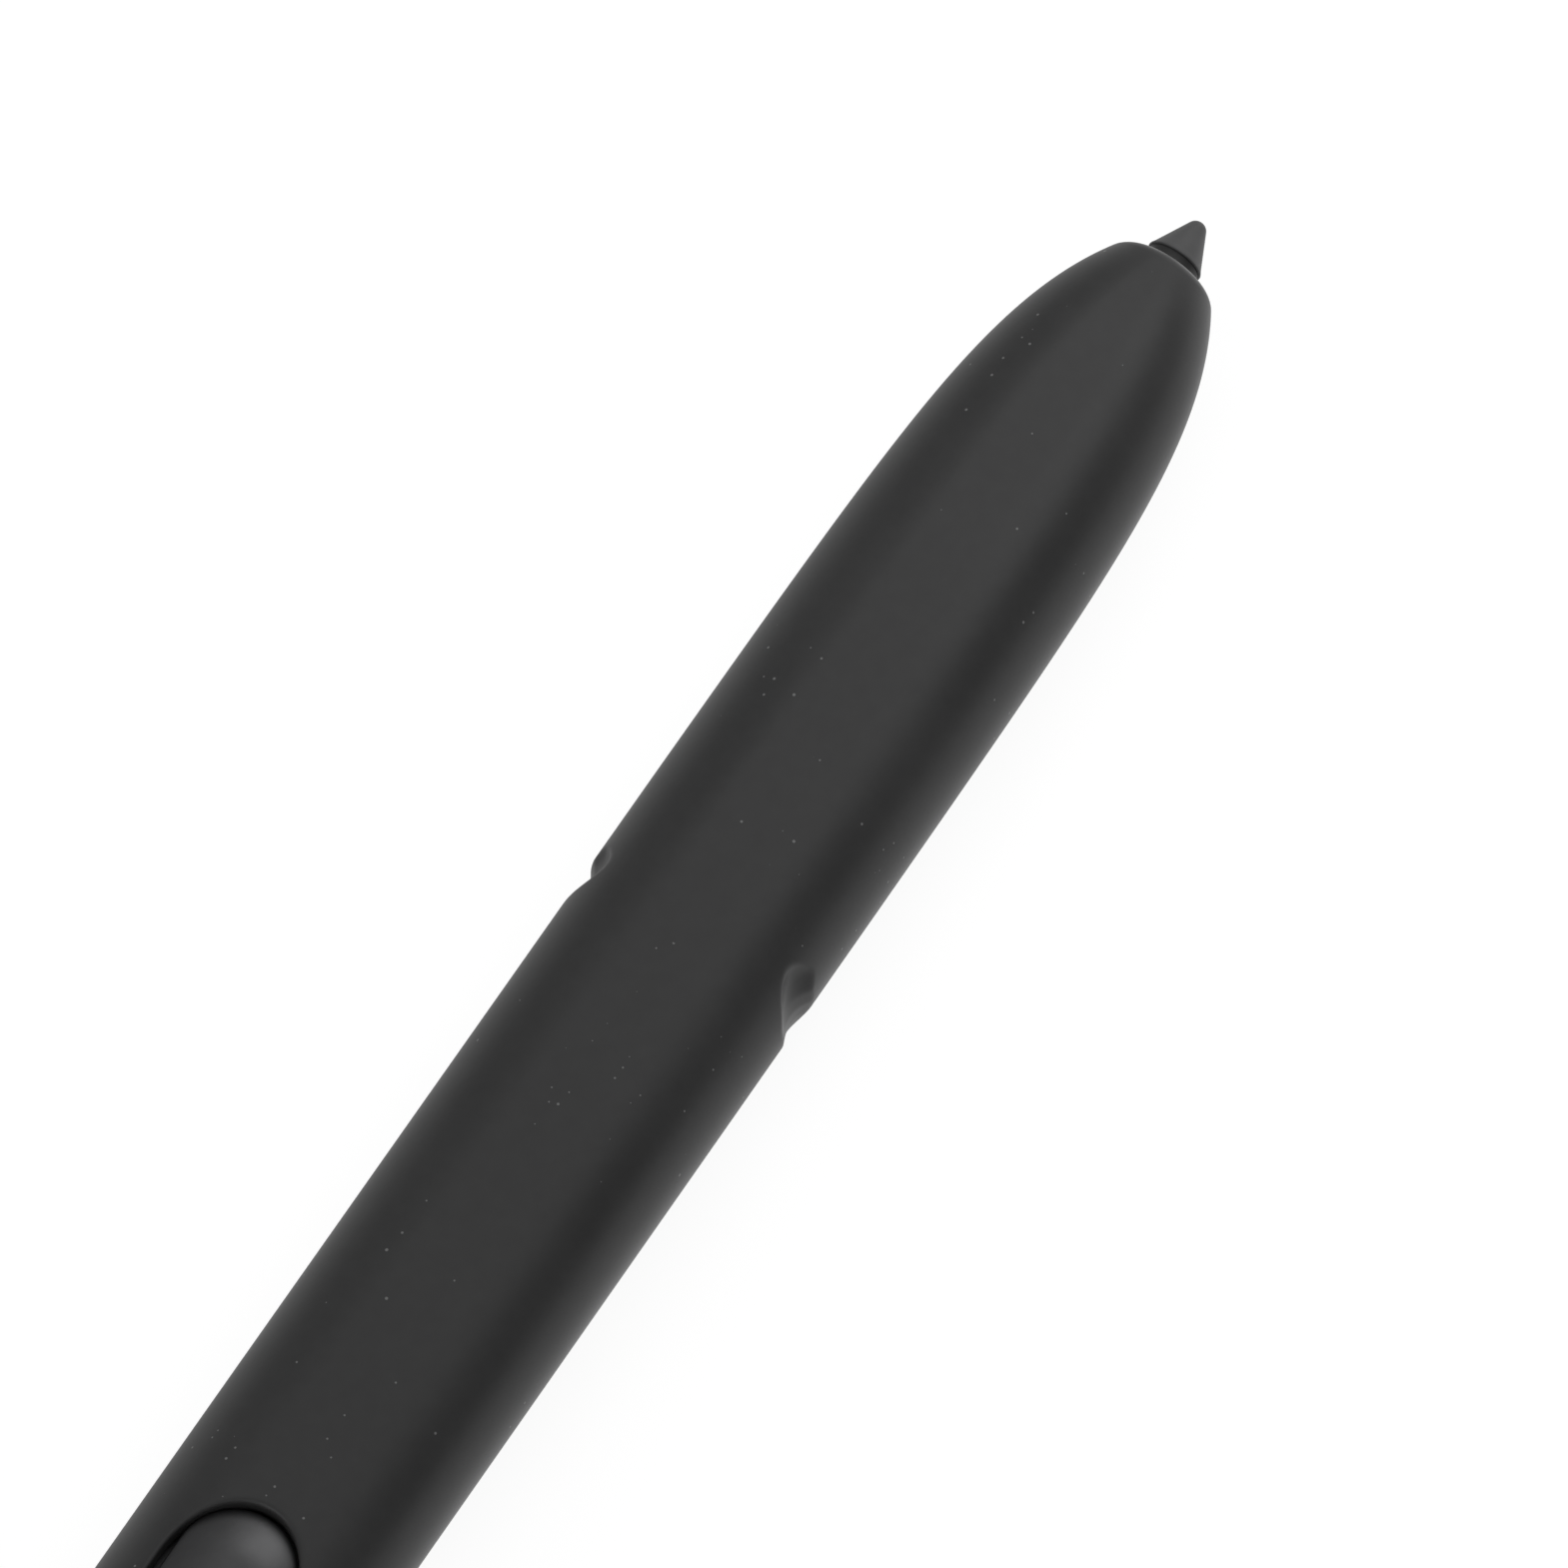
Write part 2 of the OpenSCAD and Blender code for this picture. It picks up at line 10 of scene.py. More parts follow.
# %% Load the frame
import json
import math

import bpy
import numpy as np
from mathutils import Matrix, Vector


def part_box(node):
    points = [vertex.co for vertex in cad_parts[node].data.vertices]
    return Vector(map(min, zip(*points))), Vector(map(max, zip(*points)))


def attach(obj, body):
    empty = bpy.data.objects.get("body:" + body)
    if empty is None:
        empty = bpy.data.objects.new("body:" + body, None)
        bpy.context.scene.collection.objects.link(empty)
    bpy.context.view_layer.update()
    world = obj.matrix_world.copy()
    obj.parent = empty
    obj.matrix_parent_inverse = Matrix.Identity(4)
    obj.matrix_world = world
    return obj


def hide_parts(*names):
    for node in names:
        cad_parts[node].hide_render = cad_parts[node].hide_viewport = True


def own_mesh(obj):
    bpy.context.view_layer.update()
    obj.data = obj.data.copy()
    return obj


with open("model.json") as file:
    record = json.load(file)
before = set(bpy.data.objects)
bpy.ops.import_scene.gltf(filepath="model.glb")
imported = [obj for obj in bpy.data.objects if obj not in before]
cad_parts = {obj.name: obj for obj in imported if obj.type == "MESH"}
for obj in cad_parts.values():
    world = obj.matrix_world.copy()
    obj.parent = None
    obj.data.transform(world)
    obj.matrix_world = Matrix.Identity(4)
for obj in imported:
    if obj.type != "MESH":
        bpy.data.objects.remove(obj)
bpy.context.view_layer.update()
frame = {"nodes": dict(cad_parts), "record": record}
MM = 0.001

# %% [markdown]
# ## Sizes
# The barrel is an oval tube: two half circles joined by short flats, on the top and the underside. Its
# sizes could be typed in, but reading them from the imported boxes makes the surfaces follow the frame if
# it changes.

# %% Read the sizes
def box_mm(node):
    """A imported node's lowest and highest corners, in millimetres."""
    low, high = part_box(node)
    return np.array(low) / MM, np.array(high) / MM


barrel_low, barrel_high = box_mm("barrel")
nib_low, nib_high = box_mm("nib")
collar_low, collar_high = box_mm("tail_collar")
knob_low, knob_high = box_mm("click_knob")
spring_low, spring_high = box_mm("click_spring")
latch_low, latch_high = box_mm("latch_wire")
button_low, button_high = box_mm("side_button")
TIP_X = nib_high[0]
AXIS_Z = barrel_high[2] / 2
HALF_W = barrel_high[1]
HALF_H = AXIS_Z
FLAT = HALF_W - HALF_H
print("barrel half width %.3f, half height %.3f, flat %.3f" % (HALF_W, HALF_H, FLAT))


def station(x):
    """The distance behind the nib's tip of a place along X."""
    return TIP_X - x


# %% [markdown]
# ## From rows of points to a mesh
# Every surface here is a set of rings, one behind the other, that all have the same number of points. Faces
# could be written one by one, but whole arrays of indices are faster and leave no gaps. Four neighbours
# in the rings make one face, and the sign of the volume tells whether the faces look outwards.

# %% Mesh helpers
SHARP_ANGLE = 40


def arc(start, stop, count):
    """Evenly spaced angles from start to stop, given in degrees, in radians."""
    return np.linspace(math.radians(start), math.radians(stop), count)


def ring_faces(rows, closed_rows=False):
    """Faces between neighbouring rings: ring i's points j and j+1 with ring i+1's, round and round."""
    rows = np.asarray(rows)
    after = np.roll(rows, -1, axis=0) if closed_rows else rows[1:]
    here = rows if closed_rows else rows[:-1]
    quads = np.stack([here, np.roll(here, -1, 1), np.roll(after, -1, 1), after], axis=-1)
    return quads.reshape(-1, 4)


def slit_faces(ring):
    """Faces that close a long thin ring, by joining each point to the one straight across the slit."""
    ring = np.asarray(ring)
    half = len(ring) // 2
    near, far = ring[: half + 1], np.concatenate([ring[:1], ring[: half - 1: -1]])
    quads = np.stack([near[:-1], far[:-1], far[1:], near[1:]], axis=-1)
    ends = [quads[0][[0, 2, 3]], quads[-1][[0, 1, 2]]]
    return quads[1:-1], np.array(ends)


def signed_volume(points, faces):
    """Sum of the tetrahedra that the faces make with the origin: positive if they face outwards."""
    total = 0.0
    for f in faces:
        for k in range(1, f.shape[1] - 1):
            a, b, c = points[f[:, 0]], points[f[:, k]], points[f[:, k + 1]]
            total += np.einsum("ij,ij->i", a, np.cross(b, c)).sum() / 6
    return total


def make_piece(name, points, faces, body, replaces):
    """Writes points in millimetres and groups of faces as a mesh in metres, smooth but for sharp edges."""
    points = np.asarray(points, float)
    if signed_volume(points, faces) < 0:
        faces = [f[:, ::-1] for f in faces]
    mesh = bpy.data.meshes.new(name)
    mesh.from_pydata((points * MM).tolist(), [], [tuple(map(int, q)) for f in faces for q in f])
    mesh.polygons.foreach_set("use_smooth", np.ones(len(mesh.polygons), bool))
    mesh.set_sharp_from_angle(angle=math.radians(SHARP_ANGLE))
    mesh.update()
    piece = bpy.data.objects.new(name, mesh)
    bpy.context.scene.collection.objects.link(piece)
    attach(piece, body)
    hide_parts(*replaces)
    print(f"{name}: {len(mesh.vertices)} points, {len(mesh.polygons)} faces")
    return piece


# %% [markdown]
# ## The oval ring
# A ring of the barrel is a walk round an oval. A point's place on the walk is a distance from the top's
# middle, first along half of the flat, then round the half circle, then back along the underside's flat.
# An angle could name the points as well, but shares of the whole walk let the same columns run from the
# round mouth to the oval body without bunching up where the flats vanish.

# %% Oval rings
SIDE_FROM, SIDE_TO = math.radians(40), math.radians(140)


def oval_points(share, flat, r):
    """Across and up for shares of the walk from -0.5 to 0.5: y = s on the flat, then flat + r sin(a) and
    z = r cos(a) with a = (s - flat) / r on the half circle, then back along the underside."""
    share, flat, r = np.broadcast_arrays(share, flat, r)
    walk = 4 * flat + 2 * np.pi * r
    s = np.abs(share) * walk
    turn = np.clip((s - flat) / r, 0, np.pi)
    under = np.clip(s - flat - np.pi * r, 0, None)
    y = np.minimum(s, flat) + r * np.sin(turn) - under
    return np.sign(share) * y, r * np.cos(turn)


def oval_shares(top, side, under):
    """Shares of the walk, closer together on the sides than on the top and the underside."""
    walk = 4 * FLAT + 2 * np.pi * HALF_H
    a = FLAT + HALF_H * SIDE_FROM
    b = FLAT + HALF_H * SIDE_TO
    s = np.concatenate([
        np.linspace(0, a, top, endpoint=False),
        np.linspace(a, b, side, endpoint=False),
        np.linspace(b, walk / 2, under, endpoint=False),
        [walk / 2],
    ])
    return np.concatenate([-s[:0:-1], s[:-1]]) / walk


def rings_to_points(u, flat, r, shares):
    """One ring for each station u, as rows of points in the pen's frame."""
    y, z = oval_points(shares[None, :], np.asarray(flat, float)[:, None], np.asarray(r, float)[:, None])
    x = np.broadcast_to((TIP_X - np.asarray(u, float))[:, None], y.shape)
    return np.stack([x, y, z + AXIS_Z], axis=-1)


SHARES = oval_shares(top=18, side=66, under=9)
print(len(SHARES), "columns round the barrel")

# %% [markdown]
# ## The barrel
# The barrel is one moulded shell, with a round mouth at the nib. Its nose opens like a bottle's shoulder:
# fast at the lip, then slower and slower. A spline could be bent to that, but 1 - exp(-d / curve) is one
# smooth law with a single number for how blunt it is. The lip and the mouth are turned with small quarter
# circles, so that they catch a thin line of light. Inside, a round bore holds the seal and the core, and
# behind it an oval cavity takes the rest.

# %% Barrel sizes
LIP_R = 1.19
LIP_ROUND = 0.25
MOUTH_R = 0.78
MOUTH_ROUND = 0.07
NOSE_LEN = 16.5
NOSE_CURVE = 2.6
WALL = 0.45
BORE_WALL = 0.55
SEAL_DEPTH = 1.55
SEAL_R = 1.2
ROUND_BORE_U = 6.0
CAVITY_U = 23.22
MOUTH_U = station(barrel_high[0])
SHELL_END_U = station(barrel_low[0])
CAVITY_R = HALF_H - WALL
ROUND_BORE_R = HALF_H - BORE_WALL
SEAL_U = MOUTH_U + SEAL_DEPTH
print("barrel from station %.2f to %.2f" % (MOUTH_U, SHELL_END_U))


def opened(d):
    """How far the nose has opened a distance d behind the lip: 1 - exp(-d / curve), scaled to end at 1."""
    d = np.clip(d, 0, NOSE_LEN)
    return (1 - np.exp(-d / NOSE_CURVE)) / (1 - math.exp(-NOSE_LEN / NOSE_CURVE))


def nose_ring(u):
    """The flat's half width and the radius of the oval at a station."""
    share = opened(np.asarray(u, float) - MOUTH_U)
    return FLAT * share, LIP_R + (HALF_H - LIP_R) * share


# %% [markdown]
# ## The notches
# Each side has a notch for the slot's catch. It is a shallow scoop with a slanted, nearly flat wall. Its
# rim is crisp along the top and towards the nib, and rounds over low down towards the tail. A Boolean cut
# would leave one hard rim all round. Here the scoop is a limit on how far out a point of the skin may lie,
# and a smooth minimum of the two makes the rim as soft as each place needs.

# %% Notches
NOTCH_U = 21.15
NOTCH_REACH = 1.45
# Each list runs up the side of the pen: one value for each height above the axis.
NOTCH_Z = [-1.5, -0.46, 0.0, 0.46, 0.7, 0.9, 1.15, 1.4, 1.5]
NOTCH_LOWEST = [21.12, 21.14, 21.18, 21.18, 21.06, 20.93, 20.84, 20.8, 20.8]
NOTCH_FLOOR = [2.6, 2.7, 2.69, 2.6, 2.53, 2.465, 2.4, 2.36, 2.345]
NOTCH_R_FRONT = [0.85, 0.85, 0.85, 0.85, 0.95, 0.9, 0.68, 0.52, 0.47]
NOTCH_R_REAR = [0.7, 0.7, 0.7, 0.72, 0.82, 0.95, 0.98, 0.85, 0.8]
NOTCH_SOFT_REAR = [0.22, 0.22, 0.22, 0.14, 0.07, 0.04, 0.03, 0.03, 0.03]
NOTCH_SOFT_FRONT = 0.06
# The softness of the rim goes from the front's to the rear's between these two places along the notch.
SOFT_FROM, SOFT_TO = -0.4, 0.25
HARD = 1e-6
# The lists are drawn out in fine steps, and a bell this many steps wide rounds them.
FINE_STEPS = 301
BELL_STEPS = 33
# The circles stop just short of upright, and the wall goes on from there at a steep slope.
USED_ARC = 0.995
STEEP = 8


def soft_minimum(a, b, k):
    """The smaller of a and b, blended over a width k: the straight mix less k h (1 - h)."""
    h = np.clip(0.5 + 0.5 * (b - a) / k, 0, 1)
    return b * (1 - h) + a * h - k * h * (1 - h)


def smooth_step(low, high, value):
    """0 below low, 1 above high, and 3 t^2 - 2 t^3 between."""
    t = np.clip((value - low) / (high - low), 0, 1)
    return t * t * (3 - 2 * t)


def between(z, values):
    """A list's value at any height: straight lines between its values, rounded by a running mean with
    bell-shaped weights, so that the heights leave no creases."""
    fine = np.linspace(NOTCH_Z[0], NOTCH_Z[-1], FINE_STEPS)
    straight = np.interp(fine, NOTCH_Z, values)
    bell = np.hanning(BELL_STEPS)
    padded = np.pad(straight, BELL_STEPS // 2, mode="edge")
    smooth = np.convolve(padded, bell / bell.sum(), mode="valid")
    return np.interp(z, fine, smooth)


def notch_wall(u, z):
    """How far out the scoop lets the skin lie: a floor, rising from its lowest line on a circle
    (R - sqrt(R^2 - d^2)) along the pen, with one radius towards the nib and one towards the tail."""
    d = u - between(z, NOTCH_LOWEST)
    r = np.where(d < 0, between(z, NOTCH_R_FRONT), between(z, NOTCH_R_REAR))
    share = np.clip(d / r, -USED_ARC, USED_ARC)
    rise = r * (1 - np.sqrt(1 - share * share))
    beyond = np.clip(np.abs(d) - USED_ARC * r, 0, None) * STEEP
    return between(z, NOTCH_FLOOR) + rise + beyond


def bite_notches(points):
    """Draws the skin in to the scoop's wall on both sides."""
    u = TIP_X - points[..., 0]
    z = points[..., 2] - AXIS_Z
    out = np.abs(points[..., 1])
    rear_share = smooth_step(SOFT_FROM, SOFT_TO, u - NOTCH_U)
    soft = NOTCH_SOFT_FRONT + (between(z, NOTCH_SOFT_REAR) - NOTCH_SOFT_FRONT) * rear_share
    soft = np.where(np.abs(u - NOTCH_U) < NOTCH_REACH, soft, HARD)
    points[..., 1] = np.sign(points[..., 1]) * np.minimum(out, soft_minimum(out, notch_wall(u, z), soft))
    return points


# %% [markdown]
# ## The window
# The side button stands in a window with round ends, which a grid of rings can't follow. It could be cut
# with a Boolean, at the price of thin faces that shade badly. So the grid leaves out a rectangle, and
# loops of points run from the rectangle's rim in to the window's outline. The same is done on the inner
# skin, and the wall of the window joins the two.

# %% Window loops
BUTTON_SHOULDER = 0.4
WINDOW_END = 2.05
WINDOW_LEN = button_high[0] - button_low[0] - 2 * BUTTON_SHOULDER
WINDOW_W = 3.14
WINDOW_MID_X = (button_high[0] + button_low[0]) / 2
WINDOW_MID_U = station(WINDOW_MID_X)
WINDOW_ROUND = 0.12
print("window %.2f long at station %.2f" % (WINDOW_LEN, WINDOW_MID_U - WINDOW_LEN / 2))


def slot_outline(share, length, width, end=None):
    """Points on an outline with rounded ends, for shares 0 to 1 of each quarter from the long side's
    middle. The ends are half ellipses of the given length, or half circles."""
    r = width / 2
    end = r if end is None else end
    straight = length / 2 - end
    mean = (end + r) / 2
    t = share * (straight + np.pi * mean / 2)
    turn = np.clip((t - straight) / mean, 0, np.pi / 2)
    return np.minimum(t, straight) + end * np.sin(turn), r * np.cos(turn)


def rectangle_loop(rows, columns):
    """Indices round the rim of a block of the grid, as (row, column) pairs in order."""
    r0, r1, c0, c1 = rows[0], rows[-1], columns[0], columns[-1]
    down = [(r, c0) for r in range(r0, r1)]
    across = [(r1, c) for c in range(c0, c1)]
    up = [(r, c1) for r in range(r1, r0, -1)]
    back = [(r0, c) for c in range(c1, c0, -1)]
    return np.array(down + across + up + back)


def quarter_shares(x, y):
    """Where each point of a rectangle's rim lies on its quarter, as a share, with its signs."""
    long_half, wide_half = np.abs(x).max(), np.abs(y).max()
    on_long_side = np.isclose(np.abs(y), wide_half, atol=1e-4)
    p = np.where(on_long_side, np.abs(x), long_half + wide_half - np.abs(y))
    return p / (long_half + wide_half), np.sign(x), np.sign(y)


def skin_height(y, flat, r):
    """Height of an oval's top above the axis at a distance across: sqrt(r^2 - (|y| - flat)^2)."""
    return np.sqrt(np.clip(r * r - np.clip(np.abs(y) - flat, 0, None) ** 2, 0, None))


def window_loop(quarter, grow, flat, r, depth):
    """The window's outline grown by a distance, laid on a skin and sunk by a depth."""
    share, sx, sy = quarter
    x, y = slot_outline(share, WINDOW_LEN + 2 * grow, WINDOW_W + 2 * grow, WINDOW_END + grow)
    x, y = x * sx, y * sy
    z = skin_height(y, flat, r) - depth
    return np.stack([x + WINDOW_MID_X, y, z + AXIS_Z], axis=-1)


def skin_loops(inner, rim, flat, r, levels):
    """Loops between an inner loop and the rim, spread on the skin: plan = inner + (rim - inner) w."""
    loops = []
    for w in levels:
        plan = inner[:, :2] * (1 - w) + rim[:, :2] * w
        z = skin_height(plan[:, 1], flat, r) + AXIS_Z
        loops.append(np.column_stack([plan, z]))
    return loops


# %% [markdown]
# ## The barrel's rings
# The shell is a tube that turns back into itself: its rings run along the outside from the tail to the
# lip, in at the mouth, and back along the inside to the tail, where the last joins the first. A solid
# with a Boolean hole would do for the outside, but one closed walk also gives the wall its real
# thickness. The rings stand close together where the shape changes fast.

# %% Barrel rings
WINDOW_MARGIN = 1.5
NOTCH_BEHIND = 1.15
NOTCH_AHEAD = 1.6
NOTCH_CLEAR = 1.9
RING_GAP = 0.6
END_ROUND = 0.06
NOSE_CROWDING = 1.9
REAR_RINGS, WINDOW_RINGS, BETWEEN_RINGS, NOTCH_RINGS, NOSE_RINGS = 20, 73, 7, 71, 64

window_from = WINDOW_MID_U - WINDOW_LEN / 2 - WINDOW_MARGIN
window_to = WINDOW_MID_U + WINDOW_LEN / 2 + WINDOW_MARGIN
window_stations = np.linspace(window_to, window_from, WINDOW_RINGS)
notch_stations = np.linspace(NOTCH_U + NOTCH_BEHIND, NOTCH_U - NOTCH_AHEAD, NOTCH_RINGS)
nose_share = np.linspace(1, 0, NOSE_RINGS) ** NOSE_CROWDING
nose_stations = MOUTH_U + LIP_ROUND + (NOSE_LEN - LIP_ROUND) * nose_share
rear_arc = arc(0, 90, 5)
outer_u = np.concatenate([
    SHELL_END_U - END_ROUND * (1 - np.cos(rear_arc)),
    np.linspace(SHELL_END_U - RING_GAP, window_to + RING_GAP, REAR_RINGS),
    window_stations,
    np.linspace(window_from - RING_GAP, NOTCH_U + NOTCH_AHEAD, BETWEEN_RINGS),
    notch_stations,
    [NOTCH_U - NOTCH_CLEAR],
    nose_stations,
])
outer_flat, outer_r = nose_ring(outer_u)
outer_r[: len(rear_arc)] -= END_ROUND * (1 - np.sin(rear_arc))

lip_arc = arc(90, 0, 9)[1:]
lip_u = MOUTH_U + LIP_ROUND * (1 - np.cos(lip_arc))
lip_flat, lip_r = nose_ring(lip_u)
lip_r = lip_r - LIP_ROUND * (1 - np.sin(lip_arc))
mouth_arc = arc(90, 0, 6)
mouth_u = MOUTH_U + MOUTH_ROUND * (1 - np.sin(mouth_arc))
mouth_r = MOUTH_R + MOUTH_ROUND * (1 - np.cos(mouth_arc))
bore_u = np.array([SEAL_U, SEAL_U, ROUND_BORE_U, ROUND_BORE_U, CAVITY_U])
bore_r = np.array([MOUTH_R, SEAL_R, SEAL_R, ROUND_BORE_R, ROUND_BORE_R])
inner_u = np.concatenate([[CAVITY_U], window_stations[::-1], [SHELL_END_U]])

front_u = np.concatenate([lip_u, mouth_u, bore_u])
front_flat = np.concatenate([lip_flat, np.zeros(len(mouth_u) + len(bore_u))])
front_r = np.concatenate([lip_r, mouth_r, bore_r])
all_u = np.concatenate([outer_u, front_u, inner_u])
all_flat = np.concatenate([outer_flat, front_flat, np.full(len(inner_u), FLAT)])
all_r = np.concatenate([outer_r, front_r, np.full(len(inner_u), CAVITY_R)])
grid = rings_to_points(all_u, all_flat, all_r, SHARES)
grid[: len(outer_u)] = bite_notches(grid[: len(outer_u)])
print("barrel grid", grid.shape)

# %% [markdown]
# ## The barrel's mesh
# The window's edge on the real shell is a little rounded, so light runs along it. The faces of the
# rectangle round the window are dropped on both skins. The loops then go from the outer rim over that
# rounded edge and down through the wall to the inner rim, as one more strip of rings.

# %% Barrel mesh
HOLE_REACH = 18
LOOP_CROWDING = 1.5

columns = len(SHARES)
index = np.arange(grid.shape[0] * columns).reshape(grid.shape[:2])
quads = ring_faces(index, closed_rows=True).reshape(grid.shape[0], columns, 4)
middle = int(np.argmin(np.abs(SHARES)))
hole_columns = [middle - HOLE_REACH, middle + HOLE_REACH]
outer_first = int(np.argmin(np.abs(outer_u - window_to)))
outer_rows = [outer_first, outer_first + WINDOW_RINGS - 1]
inner_first = len(outer_u) + len(front_u) + 1
inner_rows = [inner_first, inner_first + WINDOW_RINGS - 1]
keep = np.ones(quads.shape[:2], bool)
for rows in (outer_rows, inner_rows):
    keep[rows[0]: rows[1], hole_columns[0]: hole_columns[1]] = False

outer_loop = rectangle_loop(outer_rows, hole_columns)
outer_rim = index[outer_loop[:, 0], outer_loop[:, 1]]
outer_rim_points = grid[outer_loop[:, 0], outer_loop[:, 1]]
inner_loop_rows = inner_rows[1] - (outer_loop[:, 0] - outer_rows[0])
inner_rim = index[inner_loop_rows, outer_loop[:, 1]]
inner_rim_points = grid[inner_loop_rows, outer_loop[:, 1]]
quarter = quarter_shares(outer_rim_points[:, 0] - WINDOW_MID_X, outer_rim_points[:, 1])

edge_loops = [
    window_loop(quarter, WINDOW_ROUND * (1 - math.sin(a)), FLAT, HALF_H, WINDOW_ROUND * (1 - math.cos(a)))
    for a in arc(0, 90, 6)
]
spread = np.linspace(1, 0, 10)[1:-1] ** LOOP_CROWDING
outer_loops = skin_loops(edge_loops[0], outer_rim_points, FLAT, HALF_H, spread)
foot_loop = window_loop(quarter, 0, FLAT, CAVITY_R, 0)
inner_loops = skin_loops(foot_loop, inner_rim_points, FLAT, CAVITY_R, spread[::-1])
loops = outer_loops + edge_loops + [foot_loop] + inner_loops
loop_index = index.size + np.arange(len(loops) * len(outer_rim)).reshape(len(loops), -1)
patch = ring_faces(np.vstack([outer_rim, loop_index, inner_rim]))[:, ::-1]
barrel_points = np.vstack([grid.reshape(-1, 3)] + loops)
barrel_faces = [quads[keep], patch]
barrel = make_piece("barrel_shell", barrel_points, barrel_faces, "shell", ["barrel"])

# %% [markdown]
# ## Turning
# The nib is a turned piece. A Spin of an edge would make it, but would leave doubled points on the axis.
# Here a profile of radii along the axis is carried round a circle. Its first and last points lie on the
# axis, where all the columns meet in one point.

# %% Turned pieces
AROUND = 96


def turned(u, r):
    """Points and faces of a profile spun about the pen's axis, closed at both ends by a point:
    y = r sin(a) and z = r cos(a)."""
    around = np.linspace(0, 2 * np.pi, AROUND, endpoint=False)
    body_u, body_r = u[1:-1], r[1:-1]
    x = np.broadcast_to((TIP_X - body_u)[:, None], (len(body_u), AROUND))
    y = body_r[:, None] * np.sin(around)
    z = body_r[:, None] * np.cos(around) + AXIS_Z
    points = np.stack([x, y, z], -1).reshape(-1, 3)
    rows = np.arange(len(points)).reshape(len(body_u), AROUND)
    ends = np.array([[TIP_X - u[0], 0, AXIS_Z], [TIP_X - u[-1], 0, AXIS_Z]])
    first, last = len(points), len(points) + 1
    front_fan = np.stack([np.full(AROUND, first), np.roll(rows[0], -1), rows[0]], -1)
    rear_fan = np.stack([np.full(AROUND, last), rows[-1], np.roll(rows[-1], -1)], -1)
    return np.vstack([points, ends]), [ring_faces(rows), front_fan, rear_fan]


# %% [markdown]
# ## The nib
# The nib is a small plastic cone with a round tip, on a thinner neck and a long shaft that plugs into its
# holder. A cone primitive with a bevel would come near, but the tip's arc has to run into the cone's side
# without a crease. So both are worked out from the cone's angle. The base has a small round edge, and the
# neck is flared under it.

# %% Nib
TIP_R = 0.245
TIP_ANGLE = math.radians(25.1)
CONE_R = 0.68
BASE_ROUND = 0.045
BASE_SET_BACK = 0.2
NECK_R = 0.5
NECK_END_U = 4.22
NECK_STEP = 0.1
SHAFT_R = 0.45
END_LEN, END_DROP = 0.2, 0.15
NIB_LEN = station(nib_low[0])
FLARE_U = np.array([0.0, 0.03, 0.2, 0.4, 0.65, 0.85])
FLARE_R = np.array([0.13, 0.115, 0.105, 0.08, 0.015, 0.0])

cone_from = TIP_R * (1 - math.sin(TIP_ANGLE))
cone_from_r = TIP_R * math.cos(TIP_ANGLE)
CONE_LEN = cone_from + (CONE_R - cone_from_r) / math.tan(TIP_ANGLE)
tip_turn = np.linspace(0, math.pi / 2 - TIP_ANGLE, 12)
base_turn = np.linspace(-TIP_ANGLE, math.pi / 2, 7)
cone_u = np.linspace(cone_from, CONE_LEN - BASE_ROUND, 14)[1:-1]
profile_u = np.concatenate([
    TIP_R * (1 - np.cos(tip_turn)),
    cone_u,
    CONE_LEN - BASE_ROUND * BASE_SET_BACK + BASE_ROUND * np.sin(base_turn),
    CONE_LEN + BASE_ROUND + FLARE_U,
    [NECK_END_U, NECK_END_U + NECK_STEP, NIB_LEN - END_LEN, NIB_LEN, NIB_LEN],
])
profile_r = np.concatenate([
    TIP_R * np.sin(tip_turn),
    np.interp(cone_u, [cone_from, CONE_LEN], [cone_from_r, CONE_R]),
    CONE_R - BASE_ROUND + BASE_ROUND * np.cos(base_turn),
    NECK_R + FLARE_R,
    [NECK_R, SHAFT_R, SHAFT_R, SHAFT_R - END_DROP, 0],
])
nib_points, nib_faces = turned(profile_u, profile_r)
nib = make_piece("nib_tip", nib_points, nib_faces, "nib", ["nib"])

# %% [markdown]
# ## The side button
# The button is a crowned pillow with round ends, a wider shoulder that keeps it in the window, and a round
# nub underneath that presses the switch. A bevelled block could stand for it, but its top would be flat.
# So loops that are each a smaller copy of the outline climb from the rim to the crown, and the last thin
# slit is closed straight across.

# %% Side button
END_GAP, SIDE_GAP = 0.09, 0.19
BUTTON_LEN = WINDOW_LEN - 2 * END_GAP
BUTTON_W = WINDOW_W - 2 * SIDE_GAP
BUTTON_TOP = button_high[2] - AXIS_Z
CROWN_R = 2.5
BUTTON_ROUND = 0.05
BUTTON_POINTS = 128
NEARLY_MIDDLE = 0.985
SHOULDER_TOP = 1.299
NUB_R = 0.65
NUB_LEN = 0.2
NUB_BOTTOM = button_low[2] - AXIS_Z
SHOULDER_BOTTOM = NUB_BOTTOM + NUB_LEN


def slot_ring(length, width):
    """A closed ring of points on an outline with round ends, from the nib end round and back."""
    share = np.linspace(0, 1, BUTTON_POINTS // 4 + 1)
    x, y = slot_outline(share, length, width)
    xs = np.concatenate([x[::-1], -x[1:], -x[::-1][1:], x[1:-1]])
    ys = np.concatenate([y[::-1], y[1:], -y[::-1][1:], -y[1:-1]])
    return xs, ys


def raised_ring(grow, z, length=BUTTON_LEN, width=BUTTON_W):
    """An outline grown by a distance, the button's or another, at a height above the axis."""
    x, y = slot_ring(length + 2 * grow, width + 2 * grow)
    return np.column_stack([x + WINDOW_MID_X, y, np.broadcast_to(z + AXIS_Z, x.shape)])


